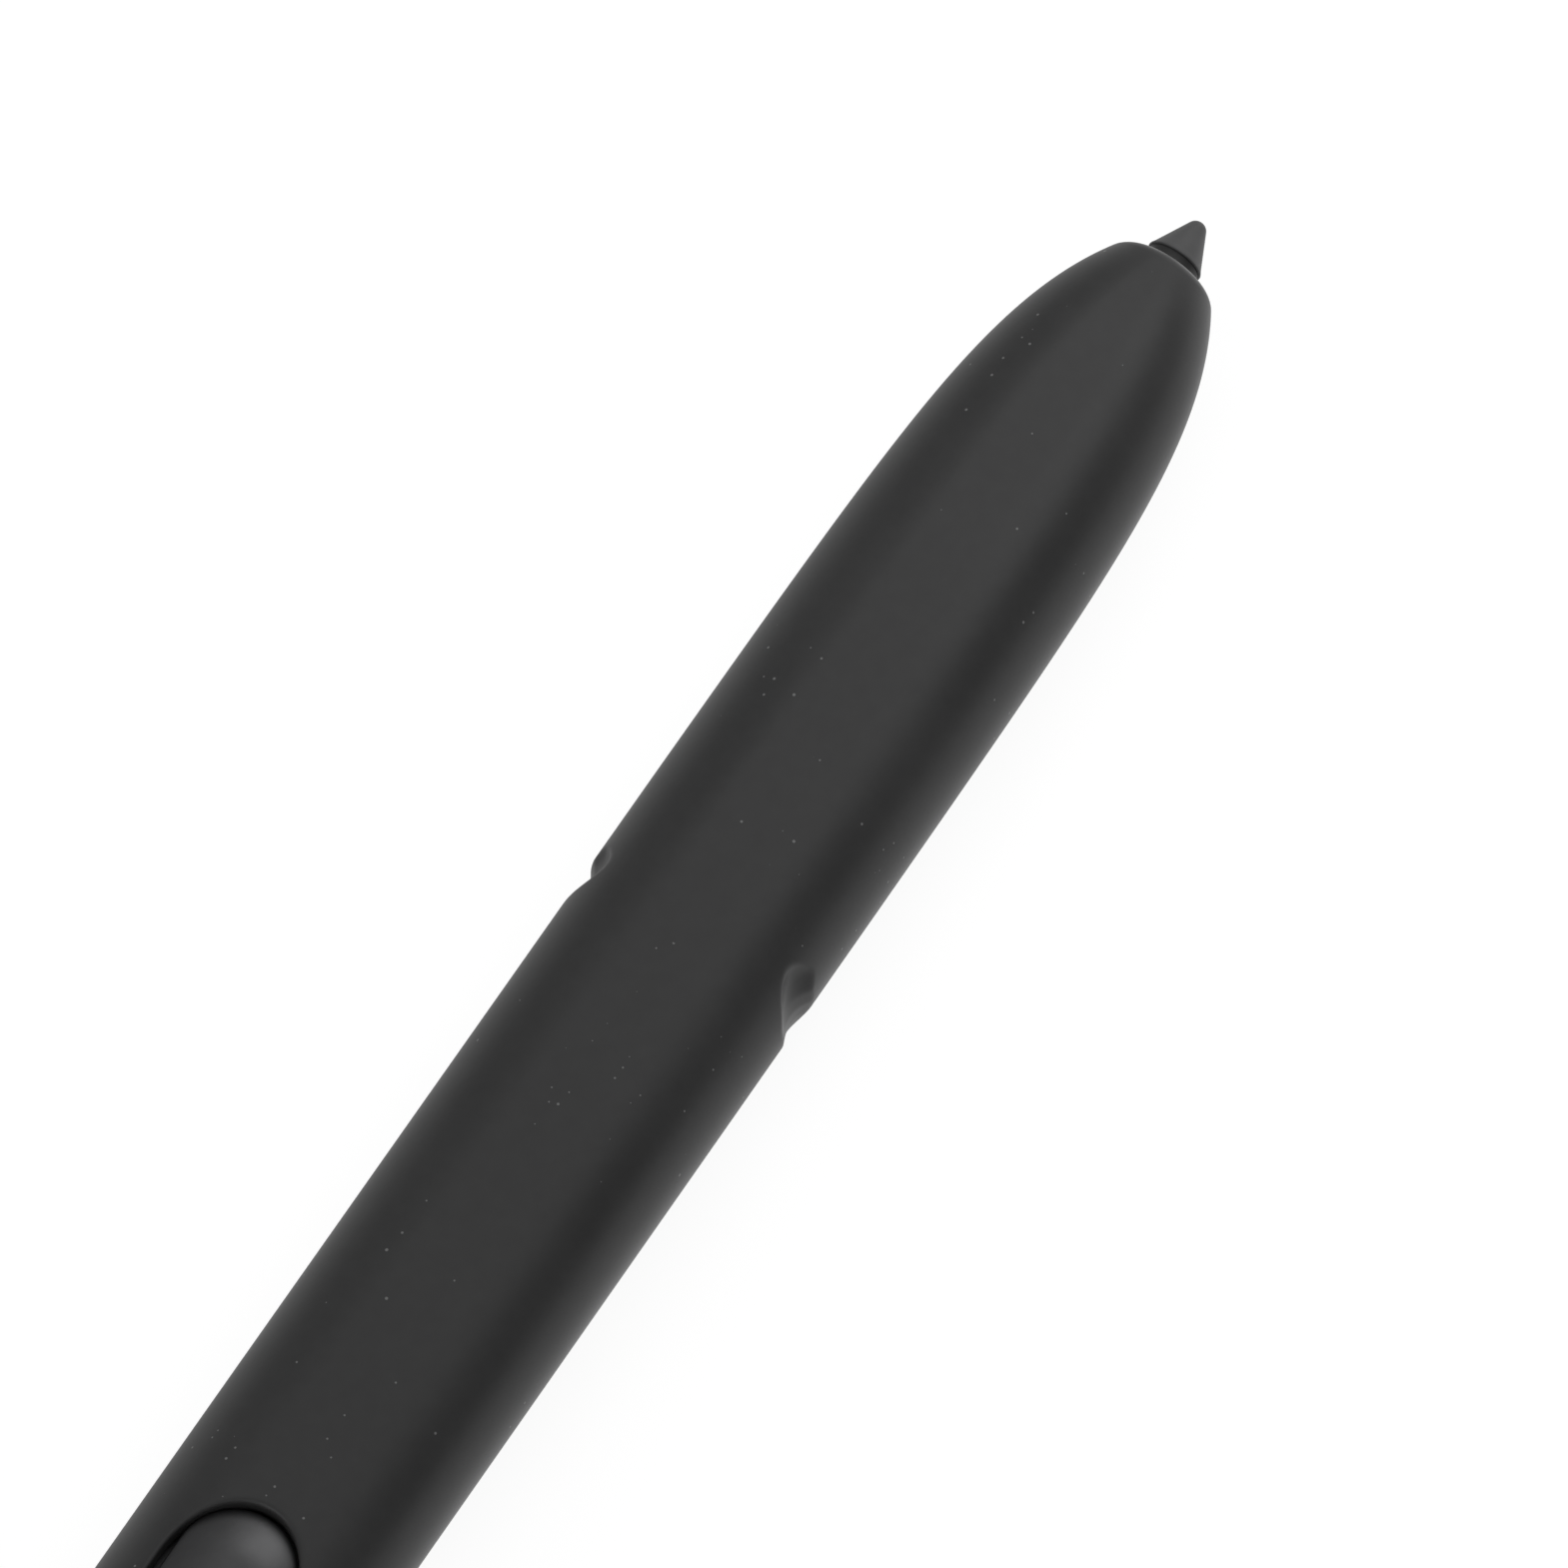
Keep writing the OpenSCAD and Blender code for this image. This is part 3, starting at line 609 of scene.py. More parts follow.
def pillow_height(inward):
    """Height of the crown a distance in from the rim: top - (R - sqrt(R^2 - w^2)), where w is what is left
    to the middle, with a quarter circle at the rim."""
    left = np.clip(BUTTON_W / 2 - inward, 0, None)
    crown = BUTTON_TOP - (CROWN_R - np.sqrt(CROWN_R**2 - left * left))
    t = np.clip(inward / BUTTON_ROUND, 0, 1)
    return crown - BUTTON_ROUND * (1 - np.sqrt(1 - (1 - t) ** 2))


inward = np.concatenate([
    BUTTON_ROUND * (1 - np.cos(arc(0, 90, 6)))[:-1],
    np.linspace(BUTTON_ROUND, BUTTON_W / 2 * NEARLY_MIDDLE, 20),
])
rings = [
    raised_ring(0, NUB_BOTTOM, 2 * NUB_R, 2 * NUB_R),
    raised_ring(0, SHOULDER_BOTTOM, 2 * NUB_R, 2 * NUB_R),
    raised_ring(BUTTON_SHOULDER, SHOULDER_BOTTOM),
    raised_ring(BUTTON_SHOULDER, SHOULDER_TOP),
    raised_ring(0, SHOULDER_TOP),
]
rings += [raised_ring(-d, pillow_height(d)) for d in inward]
rows = np.arange(len(rings) * BUTTON_POINTS).reshape(len(rings), BUTTON_POINTS)
crown, crown_ends = slit_faces(rows[-1])
foot, foot_ends = slit_faces(rows[0])
button_faces = [ring_faces(rows), crown[:, ::-1], crown_ends[:, ::-1], foot, foot_ends]
button = make_piece("side_key", np.vstack(rings), button_faces, "button", ["side_button"])

# %% [markdown]
# ## Ovals for the click end
# The collar and the knob at the tail are ovals like the barrel. They could be extruded and bevelled. As
# rings whose size changes at the rounded edges, they share the barrel's own oval and fit it exactly.

# %% Oval bodies
END_SHARES = oval_shares(top=10, side=26, under=8)


def oval_body(profile, closed=False):
    """Rings from rows of (station, flat, radius). A closed profile runs round a wall, back to its start."""
    profile = np.asarray(profile, float)
    points = rings_to_points(profile[:, 0], profile[:, 1], profile[:, 2], END_SHARES)
    rows = np.arange(points.shape[0] * points.shape[1]).reshape(points.shape[:2])
    return points.reshape(-1, 3), rows, ring_faces(rows, closed)


def rounded(u0, r0, size, start, stop, count=7):
    """Stations and radii round a quarter circle whose centre is (u0, r0)."""
    return [(u0 + size * math.sin(t), FLAT, r0 + size * math.cos(t)) for t in arc(start, stop, count)]


# %% [markdown]
# ## The collar
# A metal collar closes the barrel's tail, with a skirt that plugs into it and a thin gasket between. A
# Solidify of a sheet would give one thickness everywhere, but the skirt is thinner than the rim. So its
# profile runs round the whole wall and back to its start.

# %% Collar
FIT = 0.05
COLLAR_WALL = 0.18
GASKET = 0.16
COLLAR_EDGE, RIM_EDGE, BORE_EDGE = 0.04, 0.2, 0.05
COLLAR_END_U = station(collar_low[0])
COLLAR_U = SHELL_END_U + GASKET
SKIRT_U = station(collar_high[0])
SKIRT_R = HALF_H - WALL - FIT
KNOB_R = SKIRT_R - COLLAR_WALL - FIT
BORE_R = KNOB_R + FIT
collar_profile = (
    rounded(COLLAR_U + COLLAR_EDGE, HALF_H - COLLAR_EDGE, COLLAR_EDGE, -90, 0, 4)
    + rounded(COLLAR_END_U - RIM_EDGE, HALF_H - RIM_EDGE, RIM_EDGE, 0, 90)
    + rounded(COLLAR_END_U - BORE_EDGE, BORE_R + BORE_EDGE, BORE_EDGE, 90, 180, 5)
    + [(SKIRT_U, FLAT, BORE_R), (SKIRT_U, FLAT, SKIRT_R), (COLLAR_U, FLAT, SKIRT_R)]
)
collar_points, collar_rows, collar_side = oval_body(collar_profile, closed=True)
collar = make_piece("end_collar", collar_points, [collar_side], "shell", ["tail_collar"])
print(len(collar_rows), "rings in the collar")

# %% [markdown]
# ## The click knob
# The knob is the plastic cap that the thumb clicks. A bevelled oval would leave its end flat, but the real
# one is a little domed, to sit well under a thumb. Its profile starts at the shoulder that keeps it
# in, and ends in a rounded edge and the dome.

# %% Knob
KNOB_END_U = station(knob_low[0])
KNOB_SHOULDER_U = station(knob_high[0])
KNOB_SHOULDER_R = SKIRT_R - FIT
KNOB_SHOULDER_LEN = 0.5
KNOB_EDGE = 0.55
KNOB_DOME = 0.12
# The edge's quarter circle stops short, at this angle, and the dome takes over at a share of the cap.
EDGE_STOP = 82
DOME_FROM, DOME_TO = 0.93, 0.1
cap_r = KNOB_R - KNOB_EDGE
shaft_u = KNOB_SHOULDER_U + KNOB_SHOULDER_LEN
knob_profile = (
    [(KNOB_SHOULDER_U, FLAT, KNOB_SHOULDER_R), (shaft_u, FLAT, KNOB_SHOULDER_R), (shaft_u, FLAT, KNOB_R)]
    + rounded(KNOB_END_U - KNOB_DOME - KNOB_EDGE, cap_r, KNOB_EDGE, 0, EDGE_STOP, 9)
    + [(KNOB_END_U - KNOB_DOME * t * t, FLAT, t * cap_r) for t in np.linspace(DOME_FROM, DOME_TO, 12)]
)
knob_points, knob_rows, knob_side = oval_body(knob_profile)
knob_faces = [knob_side, knob_rows[0][::-1][None, :], knob_rows[-1][None, :]]
knob = make_piece("click_cap", knob_points, knob_faces, "knob", ["click_knob"])

# %% [markdown]
# ## Wiring nodes
# A finish is a small circuit of nodes. It could be wired by hand, three lines for each node. These helpers
# take numbers, colours or other nodes' outputs alike, so that a finish below reads as one short recipe.

# %% Node helpers
def feed(tree, socket, value):
    """Links another node's output into a socket, or sets its steady value. Three numbers are a colour."""
    if isinstance(value, bpy.types.NodeSocket):
        tree.links.new(value, socket)
    elif isinstance(value, tuple):
        socket.default_value = (*value, 1)
    else:
        socket.default_value = value


def math_node(tree, operation, a, b=0.0, c=None, clamp=False):
    """A Math node whose inputs are sockets or numbers."""
    node = tree.nodes.new("ShaderNodeMath")
    node.operation = operation
    node.use_clamp = clamp
    for socket, value in zip(node.inputs, (a, b, c)):
        if value is not None:
            feed(tree, socket, value)
    return node.outputs[0]


def mix_colour(tree, mask, low, high):
    """A colour between low, where the mask is 0, and high, where it is 1."""
    node = tree.nodes.new("ShaderNodeMix")
    node.data_type = "RGBA"
    tree.links.new(mask, node.inputs["Factor"])
    feed(tree, node.inputs[6], low)
    feed(tree, node.inputs[7], high)
    return node.outputs[2]


def map_range(tree, value, start, stop, low=0.0, high=1.0):
    """A value from low to high as another goes from start to stop."""
    node = tree.nodes.new("ShaderNodeMapRange")
    tree.links.new(value, node.inputs["Value"])
    node.inputs["From Min"].default_value = start
    node.inputs["From Max"].default_value = stop
    node.inputs["To Min"].default_value = low
    node.inputs["To Max"].default_value = high
    return node.outputs[0]


def place_part(tree, output, axis):
    """One part, X, Y or Z, of what Texture Coordinate gives."""
    coords = tree.nodes.new("ShaderNodeTexCoord")
    split = tree.nodes.new("ShaderNodeSeparateXYZ")
    tree.links.new(coords.outputs[output], split.inputs[0])
    return split.outputs[axis]


def texture(tree, kind, scale, stretch=None, **settings):
    """A texture on Object coordinates, perhaps stretched. The scale is in features a metre."""
    coords = tree.nodes.new("ShaderNodeTexCoord")
    place = coords.outputs["Object"]
    if stretch:
        mapping = tree.nodes.new("ShaderNodeMapping")
        mapping.inputs["Scale"].default_value = stretch
        tree.links.new(place, mapping.inputs["Vector"])
        place = mapping.outputs["Vector"]
    node = tree.nodes.new(kind)
    tree.links.new(place, node.inputs["Vector"])
    feed(tree, node.inputs["Scale"], scale)
    for key, value in settings.items():
        if key in node.inputs:
            node.inputs[key].default_value = value
        else:
            setattr(node, key, value)
    return node


# %% [markdown]
# ## Grain and dust
# The pen's plastics have a fine matte grain that breaks up reflections, are a little cloudy in their
# gloss, and hold a few specks of dust. A flat colour would look like paint, and a painted map would blur
# near by. So grain and dust are worked out from noise, which is sharp at any distance. They are node
# groups, because several materials use them with their own values.

# %% Node groups
COARSE_GRAINS = 2600.0
CLOUDS = 220.0
FINE_SHARE = 0.7
DUST_CELLS = 3200.0
DRIFTS = 240.0
DRIFT_FROM = 0.42
DRIFT_GAIN = 6.0
SPECK_SIZE = 0.13
SPECK_EDGE = 60.0


def new_group(name, inputs, outputs):
    """An empty shader group with float inputs given as (name, default) and the named outputs."""
    group = bpy.data.node_groups.new(name, "ShaderNodeTree")
    for label, value in inputs:
        socket = group.interface.new_socket(label, in_out="INPUT", socket_type="NodeSocketFloat")
        socket.default_value = value
    for label in outputs:
        group.interface.new_socket(label, in_out="OUTPUT", socket_type="NodeSocketFloat")
    return group, group.nodes.new("NodeGroupInput"), group.nodes.new("NodeGroupOutput")


def build_grain():
    """Height of a fine moulded grain, from two sizes of noise, with a slow cloudiness, and a blotch that
    is half the one and half the other."""
    group, inn, out = new_group("fine_grain", [("Grains a metre", 9000.0)], ["Height", "Cloud", "Blotch"])
    small = texture(group, "ShaderNodeTexNoise", inn.outputs["Grains a metre"], Detail=1.5, Roughness=0.6)
    big = texture(group, "ShaderNodeTexNoise", COARSE_GRAINS, Detail=2.0, Roughness=0.5)
    cloud = texture(group, "ShaderNodeTexNoise", CLOUDS, Detail=2.0, Roughness=0.5)
    height = math_node(group, "MULTIPLY_ADD", small.outputs["Fac"], FINE_SHARE, big.outputs["Fac"])
    half = math_node(group, "MULTIPLY", cloud.outputs["Fac"], 0.5)
    blotch = math_node(group, "MULTIPLY_ADD", big.outputs["Fac"], 0.5, half)
    group.links.new(height, out.inputs["Height"])
    group.links.new(cloud.outputs["Fac"], out.inputs["Cloud"])
    group.links.new(blotch, out.inputs["Blotch"])
    return group


def build_dust():
    """A mask of tiny round specks: cells of a Voronoi pattern, most of them dropped at random, and more of
    them kept where a slow noise is high, because dust settles in drifts."""
    inputs = [("Cells a metre", DUST_CELLS), ("Kept share", 0.1), ("Speck size", SPECK_SIZE)]
    group, inn, out = new_group("dust_specks", inputs, ["Mask"])
    cells = texture(group, "ShaderNodeTexVoronoi", inn.outputs["Cells a metre"], feature="F1")
    drifts = texture(group, "ShaderNodeTexNoise", DRIFTS, Detail=1.0)
    split = group.nodes.new("ShaderNodeSeparateColor")
    group.links.new(cells.outputs["Color"], split.inputs["Color"])
    drift = math_node(group, "SUBTRACT", drifts.outputs["Fac"], DRIFT_FROM)
    drift = math_node(group, "MULTIPLY", drift, DRIFT_GAIN, clamp=True)
    kept = math_node(group, "MULTIPLY", drift, inn.outputs["Kept share"])
    chosen = math_node(group, "LESS_THAN", split.outputs[0], kept)
    size = math_node(group, "MULTIPLY", inn.outputs["Speck size"], split.outputs[1])
    inside = math_node(group, "SUBTRACT", size, cells.outputs["Distance"])
    soft = math_node(group, "MULTIPLY", inside, SPECK_EDGE, clamp=True)
    group.links.new(math_node(group, "MULTIPLY", soft, chosen), out.inputs["Mask"])
    return group


GRAIN = build_grain()
DUST = build_dust()
print("groups:", GRAIN.name, DUST.name)

# %% [markdown]
# ## Plastics
# Moulded plastic is never one even grey: it has grain, and its colour and gloss drift a little. One
# function places the groups in a material with their values. The Principled shader always stays in the
# material itself, where its steady values can be read.

# %% Plastics
DUST_GREY = (0.18, 0.18, 0.18)
NOISE_LOW, NOISE_HIGH = 0.3, 0.7
GLOSS_DRIFT = 0.03
BLOTCH_DARK, BLOTCH_LIGHT = 0.8, 1.2
GRAIN_STRENGTH = 0.35


def place_group(tree, group, **values):
    """A group's node, with its inputs set by their names, spaces written as underscores."""
    node = tree.nodes.new("ShaderNodeGroup")
    node.node_tree = group
    for key, value in values.items():
        node.inputs[key.replace("_", " ")].default_value = value
    return node


def start_material(name, roughness, metallic=0.0, specular=0.5):
    """A new material with its Principled shader."""
    material = bpy.data.materials.new(name)
    material.use_nodes = True
    shader = material.node_tree.nodes["Principled BSDF"]
    shader.inputs["Metallic"].default_value = metallic
    shader.inputs["Roughness"].default_value = roughness
    shader.inputs["Specular IOR Level"].default_value = specular
    return material, material.node_tree, shader


def bump(tree, height, strength, distance, shader):
    """Tilts the surface by a height, over a distance in metres."""
    node = tree.nodes.new("ShaderNodeBump")
    node.inputs["Strength"].default_value = strength
    node.inputs["Distance"].default_value = distance
    tree.links.new(height, node.inputs["Height"])
    tree.links.new(node.outputs["Normal"], shader.inputs["Normal"])


def tones(colour, darker, lighter):
    """A colour made darker, and the same colour made lighter."""
    return tuple(c * darker for c in colour), tuple(min(c * lighter, 1.0) for c in colour)


def grained_plastic(name, colour, roughness, specular, metallic=0.0, grains=9000.0, depth=0.000004,
                    dust=0.0):
    """A plastic with fine grain, a slight cloudiness in its gloss, and perhaps a few specks of dust."""
    material, tree, shader = start_material(name, roughness, metallic, specular)
    grain = place_group(tree, GRAIN, Grains_a_metre=grains)
    cloud = grain.outputs["Cloud"]
    gloss_range = (roughness - GLOSS_DRIFT, roughness + GLOSS_DRIFT)
    rough = map_range(tree, cloud, NOISE_LOW, NOISE_HIGH, *gloss_range)
    tree.links.new(rough, shader.inputs["Roughness"])
    base = mix_colour(tree, grain.outputs["Blotch"], *tones(colour, BLOTCH_DARK, BLOTCH_LIGHT))
    if dust:
        specks = place_group(tree, DUST, Kept_share=dust)
        base = mix_colour(tree, specks.outputs["Mask"], base, DUST_GREY)
    tree.links.new(base, shader.inputs["Base Color"])
    bump(tree, grain.outputs["Height"], GRAIN_STRENGTH, depth, shader)
    return material


# %% [markdown]
# ## Wear and painted highlight on the lip, painted shade on the nib's neck
# The mouth's lip is rubbed pale where the pen slides home, and the pale rim is also a painted highlight.
# The nib's neck is painted darker than its cone, as shade under the cone. Painting that on the mesh would
# need a map for each piece. A mask by the place along the pen does it, broken up with noise on the lip,
# because real wear is uneven.

# %% Finishes outside
LIP_WEAR_AND_HIGHLIGHT = 1.7
LIP_PALE_FROM, LIP_PALE_FULL = 0.15, 0.04
RUBS = 2500.0
# Wear and painted highlight: the pale grey rubbed onto the lip.
LIP_WEAR_HIGHLIGHT_GREY = (0.22, 0.22, 0.22)
CONE_BEHIND, CONE_AHEAD = 0.08, 0.02
# Painted shade: the dark grey of the nib's neck under its cone.
NECK_PAINTED_SHADE = (0.045, 0.045, 0.045)


def along_mask(tree, low, high):
    """A mask that goes from 0 to 1 along the pen between two places in millimetres."""
    return map_range(tree, place_part(tree, "Object", "X"), low * MM, high * MM)


def tint(material, mask, low=None, high=None):
    """Mixes the base colour with another by a mask. The end that isn't given keeps the present colour."""
    tree = material.node_tree
    target = tree.nodes["Principled BSDF"].inputs["Base Color"]
    present = target.links[0].from_socket
    tree.links.new(mix_colour(tree, mask, low or present, high or present), target)


def wear_and_highlight_lip(material):
    """Wear and painted highlight: noise times a mask of the last bit before the lip, mixed towards a pale
    grey.
    """
    tree = material.node_tree
    near_lip = along_mask(tree, barrel_high[0] - LIP_PALE_FROM, barrel_high[0] - LIP_PALE_FULL)
    rubbed = texture(tree, "ShaderNodeTexNoise", RUBS, Detail=2.0)
    worn_and_lit = math_node(tree, "MULTIPLY", near_lip, rubbed.outputs["Fac"])
    tint(material, math_node(tree, "MULTIPLY", worn_and_lit, LIP_WEAR_AND_HIGHLIGHT, clamp=True), high=LIP_WEAR_HIGHLIGHT_GREY)


def paint_neck_shade(material):
    """Painted shade: a dark neck that turns to the cone's own grey at the cone's base."""
    base_x = TIP_X - CONE_LEN
    on_cone = along_mask(material.node_tree, base_x - CONE_BEHIND, base_x + CONE_AHEAD)
    tint(material, on_cone, low=NECK_PAINTED_SHADE)


def set_material(obj, material):
    """Makes a material the only one of an object."""
    obj.data.materials.clear()
    obj.data.materials.append(material)


shell_finish = grained_plastic("matte_shell", (0.039, 0.039, 0.0393), 0.42, 0.32, dust=0.75)
# The pale rim on the lip is wear and a painted highlight.
wear_and_highlight_lip(shell_finish)
button_finish = grained_plastic("satin_button", (0.1, 0.1, 0.102), 0.42, 0.5, metallic=1.0)
# The nib's neck is painted darker, as shade under its cone.
nib_finish = grained_plastic("nib_painted_neck_shade", (0.079, 0.079, 0.08), 0.5, 0.4, dust=0.4)
paint_neck_shade(nib_finish)
knob_finish = grained_plastic("satin_knob", (0.03, 0.03, 0.0305), 0.36, 0.45, dust=0.4)
print("outside:", shell_finish.name, button_finish.name, nib_finish.name, knob_finish.name)

# %% [markdown]
# ## Metals
# Metals carry fine lines along the way that they were drawn, rolled or turned. They could be modelled by
# an anisotropic shader, but that shows no single line near by. So noise is stretched thin in one
# direction, and changes the colour a little and the gloss more.

# %% Metals
ALONG_X = (0.03, 1.0, 1.0)
ROUND_X = (1.0, 0.03, 0.03)
EVEN = (1.0, 1.0, 1.0)
LINE_DARK, LINE_LIGHT = 0.85, 1.12
LINE_SMOOTH, LINE_ROUGH = 0.7, 1.3
LINE_STRENGTH = 0.3
LINE_DEPTH = 0.000002


def lined_metal(name, colour, roughness, stretch, lines=4000.0):
    """A metal with fine lines. The stretch is how crowded the lines are along X, Y and Z."""
    material, tree, shader = start_material(name, roughness, metallic=1.0)
    noise = texture(tree, "ShaderNodeTexNoise", lines, stretch=stretch, Detail=3.0, Roughness=0.6)
    height = noise.outputs["Fac"]
    base = mix_colour(tree, height, *tones(colour, LINE_DARK, LINE_LIGHT))
    tree.links.new(base, shader.inputs["Base Color"])
    gloss_range = (roughness * LINE_SMOOTH, roughness * LINE_ROUGH)
    rough = map_range(tree, height, NOISE_LOW, NOISE_HIGH, *gloss_range)
    tree.links.new(rough, shader.inputs["Roughness"])
    bump(tree, height, LINE_STRENGTH, LINE_DEPTH, shader)
    return material


collar_finish = lined_metal("anodised_collar", (0.11, 0.11, 0.114), 0.3, ROUND_X)
set_material(barrel, shell_finish)
set_material(button, button_finish)
set_material(nib, nib_finish)
set_material(knob, knob_finish)
set_material(collar, collar_finish)
print("five outer pieces have their finish")

# %% [markdown]
# ## Wires of the click
# The click has two pieces of round spring wire: a return spring and a bent pin. A curve with a bevel could
# draw both, but it would have to be turned into a mesh. Instead one function carries a circle along a
# line. It needs the line and, at each of its points, one direction square to it: away from the axis for
# the coil, and square to the plane of the bends for the pin.

# %% A round wire along a line
def wire_along(line, out, radius, sides=16):
    """Points and faces of a round wire: line + radius (out cos(a) + side sin(a)), with its ends closed."""
    ahead = np.gradient(line, axis=0)
    ahead /= np.linalg.norm(ahead, axis=1, keepdims=True)
    out = np.broadcast_to(out, line.shape)
    side = np.cross(ahead, out)
    a = np.linspace(0, 2 * np.pi, sides, endpoint=False)[None, :, None]
    circle = out[:, None] * np.cos(a) + side[:, None] * np.sin(a)
    rings = line[:, None] + np.reshape(radius, (-1, 1, 1)) * circle
    rows = np.arange(len(line) * sides).reshape(len(line), sides)
    ends = [rows[0][::-1][None, :], rows[-1][None, :]]
    return rings.reshape(-1, 3), [ring_faces(rows)] + ends


# %% [markdown]
# ## The return spring
# The spring stands between the guide's block and the slider, and shortens as the knob goes in. An Array
# of one turn would give it an even pitch, but a real one is wound close at both ends. So the share of
# the way at a share t of the turns is t - k sin(2 pi t) / (2 pi).

# %% Return spring
SPRING_WIRE = 0.16
SPRING_R = (spring_high[1] - spring_low[1] - SPRING_WIRE) / 2
SPRING_Z = (spring_high[2] + spring_low[2]) / 2
SPRING_TURNS = 7
POINTS_A_TURN = 40
CLOSE_ENDS = 0.45


def coil_line(start, end):
    """A coil about a line along X, (sin(a), cos(a)) across and up, and the direction away from that line
    at each point."""
    t = np.linspace(0, 1, SPRING_TURNS * POINTS_A_TURN + 1)
    way = t - CLOSE_ENDS * np.sin(2 * np.pi * t) / (2 * np.pi)
    angle = 2 * np.pi * SPRING_TURNS * t
    out = np.stack([0 * angle, np.sin(angle), np.cos(angle)], -1)
    middle = np.stack([start + (end - start) * way, 0 * t, SPRING_Z + 0 * t], -1)
    return middle + SPRING_R * out, out


spring_line, spring_out = coil_line(spring_high[0] - SPRING_WIRE / 2, spring_low[0] + SPRING_WIRE / 2)
spring_points, spring_faces = wire_along(spring_line, spring_out, SPRING_WIRE / 2)
spring = make_piece("return_spring", spring_points, spring_faces, "shell", ["click_spring"])
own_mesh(spring)
set_material(spring, lined_metal("drawn_wire", (0.58, 0.58, 0.6), 0.22, EVEN, lines=9000.0))

# %% [markdown]
# ## The latch pin
# The latch pin is a wire bent down at both ends. One foot turns in the guide's block, and the other runs
# round the groove in the slider. Three straight rods would show hard corners, and real wire can't be bent
# to one. So each bend is a quarter circle, and both feet are a little rounded.

# %% Latch pin
PIN_R = latch_high[1]
PIN_BEND = 0.26
PIN_FOOT_R = 0.13
PIN_FOOT_Z = 2.475
FOOT_END = 0.1
FOOT_STEPS = np.array([0.0, 0.01, 0.03, 0.06])
FOOT_SHAPE = np.array([0.8, 0.9, 0.97, 1.0])
STRAIGHT_STEPS = 4
TOP_STEPS = 12
pin_pivot = np.array([latch_high[0] - PIN_R, 0, 0])
pin_tip = np.array([latch_low[0] + PIN_R, latch_low[1] + PIN_R, 0])
pin_reach = float(np.linalg.norm(pin_tip - pin_pivot))
pin_ahead = (pin_tip - pin_pivot) / pin_reach
pin_top = latch_high[2] - PIN_R
leg_count = len(FOOT_STEPS) + STRAIGHT_STEPS


def pin_path():
    """Up from the foot, over and down: straights joined by quarter circles (b - b cos(t), b sin(t))."""
    t = arc(0, 90, 10)[1:-1]
    b = PIN_BEND
    pivot_z = latch_low[2]
    away = np.concatenate([
        np.zeros(leg_count),
        b - b * np.cos(t),
        np.linspace(b, pin_reach - b, TOP_STEPS),
        pin_reach - b + b * np.sin(t),
        np.full(leg_count, pin_reach),
    ])
    up = np.concatenate([
        pivot_z + FOOT_STEPS,
        np.linspace(pivot_z + FOOT_END, pin_top - b, STRAIGHT_STEPS),
        pin_top - b + b * np.sin(t),
        np.full(TOP_STEPS, pin_top),
        pin_top - b + b * np.cos(t),
        np.linspace(pin_top - b, PIN_FOOT_Z + FOOT_END, STRAIGHT_STEPS),
        PIN_FOOT_Z + FOOT_STEPS[::-1],
    ])
    return pin_pivot + away[:, None] * pin_ahead + up[:, None] * np.array([0, 0, 1])


pin_line = pin_path()
pin_radius = np.full(len(pin_line), PIN_R)
pin_radius[: len(FOOT_SHAPE)] *= FOOT_SHAPE
pin_radius[-leg_count:] = PIN_FOOT_R
pin_radius[-len(FOOT_SHAPE):] *= FOOT_SHAPE[::-1]
pin_points, pin_faces = wire_along(pin_line, np.cross(pin_ahead, [0, 0, 1]), pin_radius, sides=24)
pin = make_piece("latch_pin", pin_points, pin_faces, "latch", ["latch_wire"])
set_material(pin, lined_metal("bent_wire", (0.6, 0.6, 0.62), 0.2, EVEN, lines=9000.0))
print("pin reaches %.2f mm" % pin_reach)

# %% [markdown]
# ## Copper, film, board and foam
# The coil, the flexible strips, the board and the foam have patterns that are part of what they are: turns
# of wire, buried traces, vias, pores. They could be modelled, at thousands of faces each. They are thinner
# than a hair, so a pattern of waves, bricks or cells with a little bump tells the same. The dark between
# the coil's turns and in the pits of the speckled finishes is painted shade.

# %% Copper, film, board and foam
COPPER_TURNS = 4500.0
# The dark copper is painted shade in the grooves between turns.
COPPER_GROOVE_SHADE, COPPER_LIGHT = (0.22, 0.07, 0.02), (0.72, 0.3, 0.12)
ENAMEL = 0.4
FILM_WAVES, FILM_CLOUDS = 1100.0, 900.0
FILM_DARK, FILM_LIGHT, FILM_TRACE = (0.36, 0.13, 0.02), (0.52, 0.22, 0.04), (0.66, 0.4, 0.14)
STRIPE_FROM, STRIPE_TO = 0.55, 0.65
NET_SCALE, NET_BREAKS, VIA_CELLS = 700.0, 600.0, 1100.0
BOARD_NET = {"Mortar Size": 0.045, "Brick Width": 3.1, "Row Height": 0.24, "offset": 0.3}
BROKEN_BELOW = 0.47
VIA_R = 0.13
MASK_GREEN, TRACE_GREEN = (0.012, 0.07, 0.032), (0.035, 0.17, 0.065)
VIA_GOLD, LAMINATE = (0.5, 0.36, 0.13), (0.42, 0.4, 0.22)


def wound_copper():
    """Enamelled wire wound side by side: one wave along X for each turn, with painted shade in the grooves
    between turns.
    """
    material, tree, shader = start_material("wound_copper", 0.25, metallic=1.0)
    bands = {"wave_type": "BANDS", "bands_direction": "X", "Distortion": 0.15}
    turns = texture(tree, "ShaderNodeTexWave", COPPER_TURNS, **bands)
    base = mix_colour(tree, turns.outputs["Fac"], COPPER_GROOVE_SHADE, COPPER_LIGHT)
    tree.links.new(base, shader.inputs["Base Color"])
    bump(tree, turns.outputs["Fac"], 0.8, 0.00003, shader)
    shader.inputs["Coat Weight"].default_value = ENAMEL
    return material


